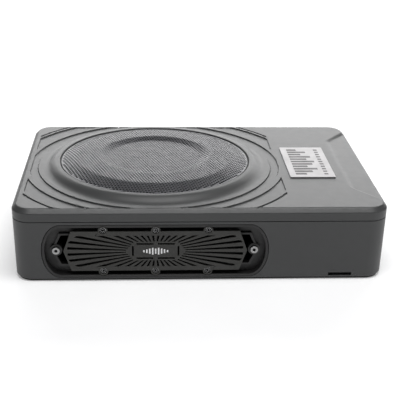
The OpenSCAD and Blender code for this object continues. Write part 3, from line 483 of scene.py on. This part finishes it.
def make_grille(material):
    """The webs, a band of triangles out to the rim, the rim, and the walls of every hole."""
    points, webs, holes, loop = honeycomb()
    used = sorted({v for edge in loop for v in edge})
    local = {v: k for k, v in enumerate(used)}
    circle = lathe_row(FIELD_R, 0, x=0)[:, :2]
    band = np.vstack([points[used], circle])
    edges = [(local[a], local[b]) for a, b in loop]
    edges += [(len(used) + i, len(used) + (i + 1) % RING_STEPS) for i in range(RING_STEPS)]
    made = delaunay_2d_cdt([Vector(p) for p in band], edges, [], 0, 1e-5)
    flat = np.array([tuple(v) for v in made[0]])
    triangles = np.array(made[2])
    middle = flat[triangles].mean(axis=1)
    triangles = triangles[~inside_loop(middle, loop, points)]
    plan = np.vstack([points, flat])
    top_faces = list(webs)
    top_faces += [tuple(int(v) + len(points) for v in t) for t in triangles]
    z = dome_z(np.hypot(plan[:, 0], plan[:, 1]))
    plan = plan + np.array([DRIVER_X, 0])
    count = len(plan)
    build = Build()
    build.add(np.column_stack([plan, z]))
    build.add(np.column_stack([plan, z - MESH_T]))
    build.faces.extend([tuple(face) for face in top_faces])
    build.faces.extend([tuple(v + count for v in face[::-1]) for face in top_faces])
    for hole in holes:
        for a, b in zip(hole, hole[1:] + hole[:1]):
            build.faces.append((b, a, a + count, b + count))
    rim = [(FIELD_R, 0), (MESH_R - 0.2, 0), (MESH_R, -0.2), (MESH_R, 0.2 - MESH_T),
           (MESH_R - 0.2, -MESH_T), (FIELD_R, -MESH_T)]
    build.strip([lathe_row(r, dome_z(np.array([min(r, MESH_R)]))[0] + dz) for r, dz in rim])
    piece = new_piece(
        "grille_mesh_perforated", build.points, build.faces, "housing",
        material, smooth=False)
    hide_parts("grille_mesh")


# Surround and spider: each is cut into sectors


def swept_sector(build, section, start, end, steps):
    """Turns a closed section of (r, z) points from one angle to another, with flat ends."""
    rows = []
    for i in range(steps + 1):
        a = start + (end - start) * i / steps
        rows.append([(DRIVER_X + r * math.cos(a), r * math.sin(a), z) for r, z in section])
    build.strip(rows)
    build.cap(rows[0])
    build.cap(rows[-1][::-1])


def thick(line, t):
    """A closed section t thick under a line of (r, z) points."""
    line = np.array(line, float)
    slope = np.gradient(line, axis=0)
    slope /= np.linalg.norm(slope, axis=1)[:, None]
    normal = np.column_stack([slope[:, 1], -slope[:, 0]])
    return [tuple(p) for p in np.vstack([line, (line + normal * t)[::-1]])]


def make_flexing(node, section, sectors, housing_r, cone_r, material, steps=8):
    """Sectors swept from the section, each a mesh on no body; the points at housing_r and cone_r
    are worked out but not used.
    """
    width = 2 * math.pi / sectors
    for k in range(sectors):
        build = Build()
        swept_sector(build, section, k * width, (k + 1) * width, steps)
        piece = new_piece(
            f"{node}_{k + 1:02d}", build.points, build.faces, None, material)
        piece.data.set_sharp_from_angle(angle=math.radians(50))
        middle = (k + 0.5) * width
        z = section[0][1]
        at = [(MM * (DRIVER_X + r * math.cos(middle)), MM * r * math.sin(middle), MM * z)
              for r in (housing_r, cone_r)]
        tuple(at[0])
        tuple(at[1])
        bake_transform(piece)
        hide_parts(node)


def surround_section():
    """A half roll with a flat lip on the basket and a glued edge on the cone."""
    mid, roll, base = 77.5, 8.4, surround_z + 0.8
    line = [(65.6, base + 0.8), (66.4, base + 0.8), (67.6, base + 0.8), (68.4, base + 0.9)]
    for i in range(1, 24):
        a = math.pi * (1 - i / 24)
        line.append((mid + roll * math.cos(a), base + 0.8 + (roll - 0.5) * math.sin(a)))
    line += [(86.4, base + 0.9), (87.2, base + 0.8), (88.6, base + 0.8)]
    return thick(line, 0.75)


def spider_section():
    """A flat cloth ring with pleats, and a plain rim from flat_from outwards."""
    inner, outer, flat_from, pleats = 25.45, 63.8, 57, 5
    z = (spider_low[2] + spider_high[2]) / 2 + 0.3
    line = []
    for i in range(61):
        r = inner + (outer - inner) * i / 60
        wave = -1.05 * math.sin((r - inner) * 2 * math.pi * pleats / (flat_from - inner))
        line.append((r, z + (wave if r < flat_from else 0)))
    return thick(line, 0.6)


# Printed and applied details


def raised_bars(name, boxes, body, material):
    """Thin printed bars: each box is (low corner, high corner), with its edges broken."""
    build = Build()
    for low, high in boxes:
        low, high = np.array(low, float), np.array(high, float)
        corners = [(x, y, z) for z in (low[2], high[2])
                   for x, y in ((low[0], low[1]), (high[0], low[1]),
                                (high[0], high[1]), (low[0], high[1]))]
        s = build.add(corners)
        for face in ((0, 3, 2, 1), (4, 5, 6, 7), (0, 1, 5, 4), (1, 2, 6, 5), (2, 3, 7, 6),
                     (3, 0, 4, 7)):
            build.faces.append(tuple(s + i for i in face))
    piece = new_piece(name, build.points, build.faces, body, material, smooth=False)
    edge = piece.modifiers.new("edge", "BEVEL")
    edge.width = PRINT_EDGE * MM
    edge.segments = 1


def badge_boxes():
    """A generic sound-level pattern: broad bars of different lengths over a row of dashes."""
    x_mid = (badge_low[0] + badge_high[0]) / 2
    low_z, high_z = badge_high[2] - 0.02, badge_high[2] + 0.12
    lengths = [11, 18, 24, 15, 21, 24, 17, 22, 13, 19, 10]
    pitch, bar_x, dash_x, dash_length = 6.9, x_mid - 16, x_mid + 12.5, 4
    boxes = []
    for k, length in enumerate(lengths):
        y = (k - (len(lengths) - 1) / 2) * pitch
        boxes.append(((bar_x, y - 2.1, low_z), (bar_x + length, y + 2.1, high_z)))
        boxes.append(((dash_x, y - 1.6, low_z), (dash_x + dash_length, y + 1.6, high_z)))
    return boxes


def dial_boxes():
    """Ticks round the knobs, larger at both ends and in the middle, and marks over the levers."""
    y = panel_back_y - 0.02
    boxes = []
    ticks_r = 7.7
    for knob in KNOBS:
        low, high = span(knob)
        x, z = (low[0] + high[0]) / 2, (low[2] + high[2]) / 2
        for step in range(-7, 8):
            a = math.radians(90 + step * 20)
            size = 0.42 if step in (-7, 0, 7) else 0.26
            cx, cz = x + ticks_r * math.cos(a), z + ticks_r * math.sin(a)
            boxes.append(((cx - size, y, cz - size), (cx + size, y + 0.08, cz + size)))
    for lever in LEVERS:
        low, high = span(lever)
        x = (low[0] + high[0]) / 2 + 1.5
        for side in (-1, 1):
            boxes.append(((x + side * 3 - 0.3, y, high[2] + 2.0),
                          (x + side * 3 + 0.3, y + 0.08, high[2] + 3.2)))
    return boxes


def pointer_boxes(knob):
    """The white line let into the groove in a knob's face."""
    low, high = span(knob)
    x, y, z = (low[0] + high[0]) / 2, high[1] - 0.82, (low[2] + high[2]) / 2
    return [((x - 0.42, y, z + 1.3), (x + 0.42, y + 0.45, z + 5.2))]


# Materials


class Nodes:
    """Short calls for building one material's node tree."""

    def __init__(self, name):
        self.material = bpy.data.materials.new(name)
        self.material.use_nodes = True
        self.tree = self.material.node_tree
        self.shader = self.tree.nodes["Principled BSDF"]
        self.coordinates = self.new("ShaderNodeTexCoord").outputs["Object"]

    def new(self, kind):
        return self.tree.nodes.new(kind)

    def link(self, a, b):
        self.tree.links.new(a, b)

    def set(self, **values):
        """Sets the shader's sockets to constants, by name with _ for each space."""
        for name, value in values.items():
            self.shader.inputs[name.replace("_", " ")].default_value = value

    def stretched(self, scale):
        """Object coordinates scaled separately along each axis."""
        mapping = self.new("ShaderNodeMapping")
        mapping.inputs["Scale"].default_value = scale
        self.link(self.coordinates, mapping.inputs["Vector"])
        return mapping.outputs["Vector"]

    def noise(self, size, detail=2.0, rough=0.5, vector=None):
        """Noise with features about size millimetres across."""
        noise = self.new("ShaderNodeTexNoise")
        noise.inputs["Scale"].default_value = 1 / (size * MM)
        noise.inputs["Detail"].default_value = detail
        noise.inputs["Roughness"].default_value = rough
        self.link(vector or self.coordinates, noise.inputs["Vector"])
        return noise.outputs["Fac"]

    def spread(self, value, low, high, start=0.3, end=0.7):
        """Maps value from start..end to low..high."""
        ranged = self.new("ShaderNodeMapRange")
        for socket, number in zip(
                ("From Min", "From Max", "To Min", "To Max"), (start, end, low, high)):
            ranged.inputs[socket].default_value = number
        self.link(value, ranged.inputs["Value"])
        return ranged.outputs["Result"]

    def split(self):
        """The object coordinates, one socket for each axis."""
        node = self.new("ShaderNodeSeparateXYZ")
        self.link(self.coordinates, node.inputs["Vector"])
        return node.outputs

    def length(self, vector):
        node = self.new("ShaderNodeVectorMath")
        node.operation = "LENGTH"
        self.link(vector, node.inputs[0])
        return node.outputs["Value"]

    def math(self, operation, a, b):
        node = self.new("ShaderNodeMath")
        node.operation = operation
        for socket, value in zip(node.inputs, (a, b)):
            if isinstance(value, (int, float)):
                socket.default_value = value
            else:
                self.link(value, socket)
        return node.outputs["Value"]

    def mix(self, factor, a, b):
        """Mixes two colours, each given as a triple or as a socket."""
        node = self.new("ShaderNodeMix")
        node.data_type = "RGBA"
        self.link(factor, node.inputs["Factor"])
        sockets = [s for s in node.inputs if s.type == "RGBA"]
        for socket, value in zip(sockets, (a, b)):
            if isinstance(value, tuple):
                socket.default_value = (*value, 1)
            else:
                self.link(value, socket)
        return next(s for s in node.outputs if s.type == "RGBA")

    def bump(self, height, millimetres):
        node = self.new("ShaderNodeBump")
        node.inputs["Strength"].default_value = 1
        node.inputs["Distance"].default_value = millimetres * MM
        self.link(height, node.inputs["Height"])
        return node.outputs["Normal"]

    def edges(self, radius):
        """1 on outer and inner edges within radius millimetres, and 0 on flats."""
        bevel = self.new("ShaderNodeBevel")
        bevel.samples = 4
        bevel.inputs["Radius"].default_value = radius * MM
        dot = self.new("ShaderNodeVectorMath")
        dot.operation = "DOT_PRODUCT"
        self.link(bevel.outputs["Normal"], dot.inputs[0])
        self.link(self.new("ShaderNodeNewGeometry").outputs["Normal"], dot.inputs[1])
        return self.spread(dot.outputs["Value"], 1, 0, 0.86, 0.985)


def tint(colour, factor):
    return tuple(min(1.0, c * factor) for c in colour)


def make_material(name, colour, rough, metal=0.0, grain=(0.45, 0.02), vary=0.12,
                  rough_vary=0.06, wear=0.0, brushed=None, coat=0.0, sheen=0.0):
    """Colour patches, a roughness that wanders, a fine grain and, if wear is set, paler edges.

    grain is the grain's size and its depth, in millimetres; brushed stretches it along an axis.
    """
    n = Nodes(name)
    patches = n.spread(n.noise(34, 4, 0.6), 0, 1, 0.35, 0.65)
    base = n.mix(patches, tint(colour, 1 - vary), tint(colour, 1 + vary))
    vector = n.stretched(brushed) if brushed else None
    fine = n.noise(grain[0], 3, 0.6, vector)
    speck = n.spread(fine, 0, 1, 0.3, 0.7)
    base = n.mix(n.math("MULTIPLY", speck, 0.35), base, tint(colour, 1 + vary * 1.5))
    smudge = n.spread(n.noise(9, 4, 0.6), rough - rough_vary, rough + rough_vary)
    rough_socket = n.math("ADD", smudge, n.spread(fine, -rough_vary * 0.5, rough_vary * 0.5))
    if wear:
        edge = n.edges(0.5)
        broken = n.spread(n.noise(2.2, 3, 0.6), 0, 1, 0.38, 0.62)
        amount = n.math("MULTIPLY", n.math("MULTIPLY", edge, broken), wear)
        worn = tuple(min(1.0, c * 1.25 + 0.05) for c in colour)
        base = n.mix(amount, base, worn)
        rough_socket = n.math("SUBTRACT", rough_socket, n.math("MULTIPLY", amount, 0.12))
    n.link(base, n.shader.inputs["Base Color"])
    n.link(rough_socket, n.shader.inputs["Roughness"])
    n.link(n.bump(fine, grain[1]), n.shader.inputs["Normal"])
    n.set(Metallic=metal)
    if coat:
        n.set(Coat_Weight=coat, Coat_Roughness=0.12)
    if sheen:
        n.set(Sheen_Weight=sheen, Sheen_Roughness=0.6)
    return n.material


def make_grille_finish():
    """Powder-coated steel, a little brighter on the webs' edges, with painted shade on the rim
    where the collar holds it, which is also rougher there.
    """
    n = Nodes("grille_steel")
    colour, shade_colour = (0.075, 0.075, 0.082), (0.018, 0.018, 0.019)
    patches = n.spread(n.noise(24, 4, 0.6), 0, 1, 0.35, 0.65)
    base = n.mix(patches, tint(colour, 0.88), tint(colour, 1.12))
    worn = n.math("MULTIPLY", n.edges(0.2), n.spread(n.noise(1.5, 3, 0.6), 0.1, 0.55))
    base = n.mix(worn, base, tint(colour, 2.2))
    plan = n.new("ShaderNodeMapping")
    plan.inputs["Location"].default_value = (-DRIVER_X * MM, 0, 0)
    plan.inputs["Scale"].default_value = (1, 1, 0)
    n.link(n.coordinates, plan.inputs["Vector"])
    start, end = (r * MM for r in RIM_SHADE_R)
    # painted shade: the rim darkens outwards, where the collar shades it
    rim_shade = n.spread(n.length(plan.outputs["Vector"]), 0, 1, start, end)
    n.link(n.mix(rim_shade, base, shade_colour), n.shader.inputs["Base Color"])
    fine = n.noise(0.3, 3, 0.6)
    rough = n.math("ADD", n.spread(n.noise(9, 4, 0.6), 0.3, 0.42), n.spread(fine, -0.03, 0.03))
    n.link(n.math("ADD", rough, n.math("MULTIPLY", rim_shade, 0.4)), n.shader.inputs["Roughness"])
    n.link(n.bump(fine, 0.01), n.shader.inputs["Normal"])
    n.set(Metallic=0.2)
    return n.material


def make_screw(name, face_y, rim, face, socket_deep):
    """A screw lying along Y: a painted highlight on the head's rim, a plainer face and painted
    shade in the socket below the face.
    """
    n = Nodes(name)
    depth = n.math("MULTIPLY", n.math("SUBTRACT", n.split()["Y"], face_y * MM), 1 / MM)
    # painted shade: the socket darkens below the face
    socket_shade = n.spread(depth, 0, 1, socket_deep * 0.25, socket_deep * 0.6)
    # painted highlight: the rim colour brightens the head's edges
    edge = n.math("MULTIPLY", n.edges(0.45), n.spread(n.noise(1.2, 3), 0.6, 1))
    metal = n.mix(n.spread(n.noise(0.5, 3, 0.6), 0, 1), face, tint(face, 1.3))
    metal = n.mix(edge, metal, rim)
    n.link(n.mix(socket_shade, metal, (0.008, 0.008, 0.008)), n.shader.inputs["Base Color"])
    n.link(n.spread(n.noise(1.5, 4, 0.6), 0.3, 0.45), n.shader.inputs["Roughness"])
    n.link(n.bump(n.noise(0.3, 3), 0.006), n.shader.inputs["Normal"])
    n.set(Metallic=0.85)
    return n.material


def bands(n, scale, axis):
    wave = n.new("ShaderNodeTexWave")
    wave.wave_type = "BANDS"
    wave.bands_direction = axis
    wave.inputs["Scale"].default_value = scale
    wave.inputs["Distortion"].default_value = 0.6
    n.link(n.coordinates, wave.inputs["Vector"])
    return wave.outputs["Fac"]


def make_patterned(name, colour, second, rough, metal, height, pattern, coat=0.0):
    """A finish whose colour and bump both follow a pattern, such as a weave or a winding."""
    n = Nodes(name)
    value = pattern(n)
    patches = n.spread(n.noise(12, 4, 0.6), 0.75, 1.1)
    shaded = n.math("MULTIPLY", value, patches)
    n.link(n.mix(shaded, second, colour), n.shader.inputs["Base Color"])
    n.link(n.spread(n.noise(3, 3, 0.6), rough - 0.08, rough + 0.08), n.shader.inputs["Roughness"])
    n.link(n.bump(value, height), n.shader.inputs["Normal"])
    n.set(Metallic=metal)
    if coat:
        n.set(Coat_Weight=coat, Coat_Roughness=0.15)
    return n.material


def weave(n):
    return n.math("MULTIPLY", bands(n, 160, "X"), bands(n, 160, "Y"))


def turns_round(n):
    return n.spread(bands(n, 240, "DIAGONAL"), 0, 1, 0.1, 0.9)


def fibres(n):
    return n.spread(n.noise(1.0, 5, 0.75, n.stretched((1, 1, 0.35))), 0, 1, 0.25, 0.75)


def tracks(n):
    brick = n.new("ShaderNodeTexBrick")
    brick.offset = 0.37
    brick.inputs["Scale"].default_value = 95
    brick.inputs["Mortar Size"].default_value = 0.035
    n.link(n.coordinates, brick.inputs["Vector"])
    return brick.outputs["Fac"]


FINISHES = {
    "housing_plastic": dict(colour=(0.037, 0.038, 0.0385), rough=0.45, grain=(0.55, 0.022),
        vary=0.05, rough_vary=0.02, wear=0.3),
    "black_steel": dict(colour=(0.016, 0.016, 0.017), rough=0.62, grain=(0.35, 0.03), wear=0.5),
    "gasket_rubber": dict(colour=(0.012, 0.012, 0.012), rough=0.85, grain=(0.25, 0.05)),
    "screw_steel": dict(colour=(0.58, 0.58, 0.59), rough=0.3, metal=1.0, grain=(0.3, 0.004),
        wear=0.3),
    "badge_aluminium": dict(colour=(0.37, 0.36, 0.365), rough=0.5, metal=0.4,
        grain=(0.16, 0.004), vary=0.03, brushed=(9, 0.35, 9), wear=0.3),
    "bezel_plastic": dict(colour=(0.010, 0.0095, 0.0095), rough=0.5, grain=(0.5, 0.02),
        wear=0.25),
    "vent_plastic": dict(colour=(0.027, 0.0265, 0.024), rough=0.6, grain=(0.3, 0.03), wear=0.25),
    "white_print": dict(colour=(0.82, 0.82, 0.82), rough=0.5, grain=(0.2, 0.005), vary=0.03),
    "basket_steel": dict(colour=(0.02, 0.02, 0.02), rough=0.42, metal=0.2, grain=(0.5, 0.03),
        wear=0.4),
    "surround_rubber": dict(colour=(0.014, 0.014, 0.014), rough=0.62, grain=(0.22, 0.012),
        sheen=0.15),
    "dust_cap_plastic": dict(colour=(0.02, 0.02, 0.02), rough=0.36, grain=(0.8, 0.01), coat=0.3),
    "former_aluminium": dict(colour=(0.72, 0.72, 0.72), rough=0.32, metal=1.0,
        grain=(0.2, 0.003), brushed=(1, 1, 9)),
    "motor_steel": dict(colour=(0.46, 0.46, 0.46), rough=0.34, metal=1.0, grain=(0.5, 0.006),
        wear=0.3),
    "ferrite": dict(colour=(0.035, 0.035, 0.037), rough=0.62, grain=(0.7, 0.05), vary=0.2,
        wear=0.6),
    "wire_insulation": dict(colour=(0.42, 0.02, 0.02), rough=0.38, grain=(1.2, 0.01)),
    "standoff_brass": dict(colour=(0.72, 0.55, 0.25), rough=0.28, metal=1.0, grain=(0.2, 0.003),
        brushed=(1, 1, 8)),
    "capacitor_sleeve": dict(colour=(0.02, 0.03, 0.13), rough=0.25, grain=(2.5, 0.02), coat=0.5),
    "chip_epoxy": dict(colour=(0.018, 0.018, 0.018), rough=0.55, grain=(0.18, 0.015), wear=0.25),
    "heatsink_aluminium": dict(colour=(0.62, 0.62, 0.63), rough=0.36, metal=1.0,
        grain=(0.25, 0.008), brushed=(8, 0.4, 8), wear=0.2),
    "pot_metal": dict(colour=(0.5, 0.5, 0.5), rough=0.35, metal=1.0, grain=(0.4, 0.005),
        wear=0.2),
    "knob_plastic": dict(colour=(0.012, 0.012, 0.0125), rough=0.4, grain=(0.3, 0.01), wear=0.5),
    "lever_plastic": dict(colour=(0.76, 0.76, 0.74), rough=0.4, grain=(0.4, 0.006), vary=0.03),
    "nickel": dict(colour=(0.7, 0.69, 0.66), rough=0.18, metal=1.0, grain=(0.6, 0.003),
        vary=0.04, wear=0.2),
    "rca_plastic": dict(colour=(0.76, 0.76, 0.72), rough=0.28, grain=(0.8, 0.004), vary=0.03),
    "gold_contact": dict(colour=(0.88, 0.64, 0.26), rough=0.2, metal=1.0, grain=(0.5, 0.003),
        vary=0.05),
    "socket_nylon": dict(colour=(0.72, 0.68, 0.58), rough=0.45, grain=(0.3, 0.01), vary=0.04),
    "fuse_plastic": dict(colour=(0.04, 0.36, 0.07), rough=0.18, grain=(1.0, 0.004), coat=0.4),
    "led_lens": dict(colour=(0.16, 0.36, 0.8), rough=0.15, grain=(1.0, 0.003), coat=0.6),
    "badge_print": dict(colour=(0.04, 0.037, 0.037), rough=0.5, grain=(0.2, 0.004), vary=0.15),
}
PATTERNED = {
    "cone_pulp": dict(colour=(0.045, 0.044, 0.043), second=(0.018, 0.018, 0.018), rough=0.85,
        metal=0, height=0.06, pattern=fibres),
    "spider_cloth": dict(colour=(0.55, 0.36, 0.12), second=(0.26, 0.16, 0.05), rough=0.85,
        metal=0, height=0.12, pattern=weave),
    "copper": dict(colour=(0.75, 0.33, 0.14), second=(0.3, 0.1, 0.04), rough=0.28, metal=1.0,
        height=0.15, pattern=turns_round, coat=0.6),
    "phenolic": dict(colour=(0.3, 0.14, 0.055), second=(0.17, 0.075, 0.03), rough=0.45, metal=0,
        height=0.03, pattern=fibres),
    "circuit_board": dict(colour=(0.012, 0.09, 0.045), second=(0.03, 0.2, 0.085), rough=0.35,
        metal=0, height=0.03, pattern=tracks, coat=0.5),
    "inductor_core": dict(colour=(0.7, 0.36, 0.12), second=(0.3, 0.2, 0.03), rough=0.3,
        metal=0.8, height=0.12, pattern=turns_round, coat=0.5),
}


def make_materials():
    made = {name: make_material(name, **finish) for name, finish in FINISHES.items()}
    made.update((name, make_patterned(name, **finish)) for name, finish in PATTERNED.items())
    made["grille_steel"] = make_grille_finish()
    return made


# CAD nodes that stay

EDGE_WIDTH = {
    "lower_housing": 0.35, "front_bezel": 0.25, "vent_grille": 0.18, "base_plate": 0.25,
    "rear_panel": 0.2, "name_badge": 0.22, "heatsink": 0.25, "magnet": 0.8, "top_plate": 0.4,
    "yoke": 0.4, "basket": 0.3, "knob": 0.2, "vent_emblem": 0.06, "transformer": 0.1,
}
DEFAULT_EDGE = 0.12
# Plates with many openings keep their triangles, because merged faces fold over the openings
PIERCED = {"vent_grille", "rear_panel"}


def edge_width(node):
    if node.endswith("_knob"):
        return EDGE_WIDTH["knob"]
    return EDGE_WIDTH.get(node, DEFAULT_EDGE)


def dress(node, material):
    """Gives a CAD node its finish, and rounds its edges with modifiers."""
    piece = frame["nodes"][node]
    piece.data.materials.clear()
    piece.data.materials.append(material)
    piece.data.shade_smooth()
    weld = piece.modifiers.new("weld", "WELD")
    weld.merge_threshold = 1e-5
    if node not in PIERCED:
        flat = piece.modifiers.new("flat", "DECIMATE")
        flat.decimate_type = "DISSOLVE"
        flat.angle_limit = math.radians(0.8)
    edge = piece.modifiers.new("edge", "BEVEL")
    edge.width = edge_width(node) * MM
    edge.segments = 2
    edge.limit_method = "ANGLE"
    edge.angle_limit = math.radians(35)
    edge.use_clamp_overlap = True
    edge.miter_outer = "MITER_ARC"
    even_normals(piece)


materials = make_materials()
REPLACED = {"upper_cover", "grille_mesh", "surround", "spider"}
for node in frame["nodes"]:
    if node not in REPLACED:
        dress(node, materials[SLOT_OF[node]])

# for each screw, the painted highlight colour on the rim, then the face's colour
SCREW_COLOURS = {
    "bezel_screws": ((0.75, 0.74, 0.73), (0.28, 0.28, 0.28)),
    "vent_grille_screws": ((0.85, 0.85, 0.86), (0.025, 0.025, 0.025)),
}
for node, (rim, face) in SCREW_COLOURS.items():
    screw = make_screw(node + "_finish", span(node)[0][1], rim, face, SOCKET_DEEP)
    frame["nodes"][node].data.materials[0] = screw
make_upper_cover(materials["housing_plastic"])
make_grille(materials["grille_steel"])
make_flexing("surround", surround_section(), 16, 86.0, 69.5,
             materials["surround_rubber"])
make_flexing("spider", spider_section(), 12, 56.0, 27.0,
             materials["spider_cloth"])
raised_bars("badge_motif", badge_boxes(), "housing", materials["badge_print"])
raised_bars("dial_ticks", dial_boxes(), "housing", materials["white_print"])
for knob in KNOBS:
    control = knob.removesuffix("_knob")
    raised_bars(control + "_pointer", pointer_boxes(knob), control + "_control",
                materials["white_print"])


# Stage, light and camera


def make_floor():
    """A pale floor with painted light: it glows more the farther it is from the object, as a lit
    sweep does, which paints shade round the object.
    """
    n = Nodes("studio_floor")
    shade = n.mix(n.noise(60, 3, 0.5), (0.74, 0.74, 0.745), (0.78, 0.78, 0.785))
    n.link(shade, n.shader.inputs["Base Color"])
    n.link(n.spread(n.noise(20, 3, 0.5), 0.75, 0.85), n.shader.inputs["Roughness"])
    n.set(Specular_IOR_Level=0.2, Emission_Color=(1, 1, 1, 1))
    # painted light and shade: the glow is weakest near the object and grows outwards
    n.link(n.spread(n.length(n.coordinates), 0.26, 1.0, 0.35, 1.6),
           n.shader.inputs["Emission Strength"])
    mesh = bpy.data.meshes.new("studio_floor")
    half = 6.0
    mesh.from_pydata(
        [(-half, -half, 0), (half, -half, 0), (half, half, 0), (-half, half, 0)], [],
        [(0, 1, 2, 3)])
    mesh.materials.append(n.material)
    floor = bpy.data.objects.new("studio_floor", mesh)
    bpy.context.scene.collection.objects.link(floor)


def add_softbox(name, place, aim, size, power):
    data = bpy.data.lights.new(name, "AREA")
    data.shape = "RECTANGLE"
    data.size, data.size_y = size
    data.energy = power
    light = bpy.data.objects.new(name, data)
    light.location = place
    light.rotation_euler = (Vector(aim) - Vector(place)).to_track_quat("-Z", "Y").to_euler()
    light.visible_camera = False
    bpy.context.scene.collection.objects.link(light)


def make_world():
    world = bpy.data.worlds.new("studio")
    world.use_nodes = True
    background = world.node_tree.nodes["Background"]
    background.inputs["Color"].default_value = (0.97, 0.985, 1.0, 1)
    background.inputs["Strength"].default_value = 0.12
    bpy.context.scene.world = world


def make_camera():
    """The photo's view."""
    data = bpy.data.cameras.new("camera")
    data.sensor_width = 36
    data.lens = 83.6
    camera = bpy.data.objects.new("camera", data)
    camera.location = (-0.0507, -0.8851, 0.4038)
    yaw, pitch, roll = math.radians(3.61), math.radians(22.81), math.radians(1.2)
    turn = Euler((0, 0, -yaw)).to_matrix() @ Euler((math.pi / 2 - pitch, 0, 0)).to_matrix()
    camera.rotation_euler = (turn @ Euler((0, 0, roll)).to_matrix()).to_euler()
    data.clip_start = 0.01
    bpy.context.scene.collection.objects.link(camera)
    bpy.context.scene.camera = camera


make_floor()
make_world()
add_softbox("softbox_over", (0.1, -0.4, 1.7), (0, 0, 0.05), (1.3, 0.8), 27)
add_softbox("softbox_back", (0.15, 1.5, 0.64), (0, 0, 0.05), (2.3, 1.0), 26)
add_softbox("softbox_right", (1.5, -0.2, 0.5), (0, 0, 0.05), (0.8, 0.6), 2)
make_camera()
bpy.context.scene.view_settings.view_transform = "Standard"
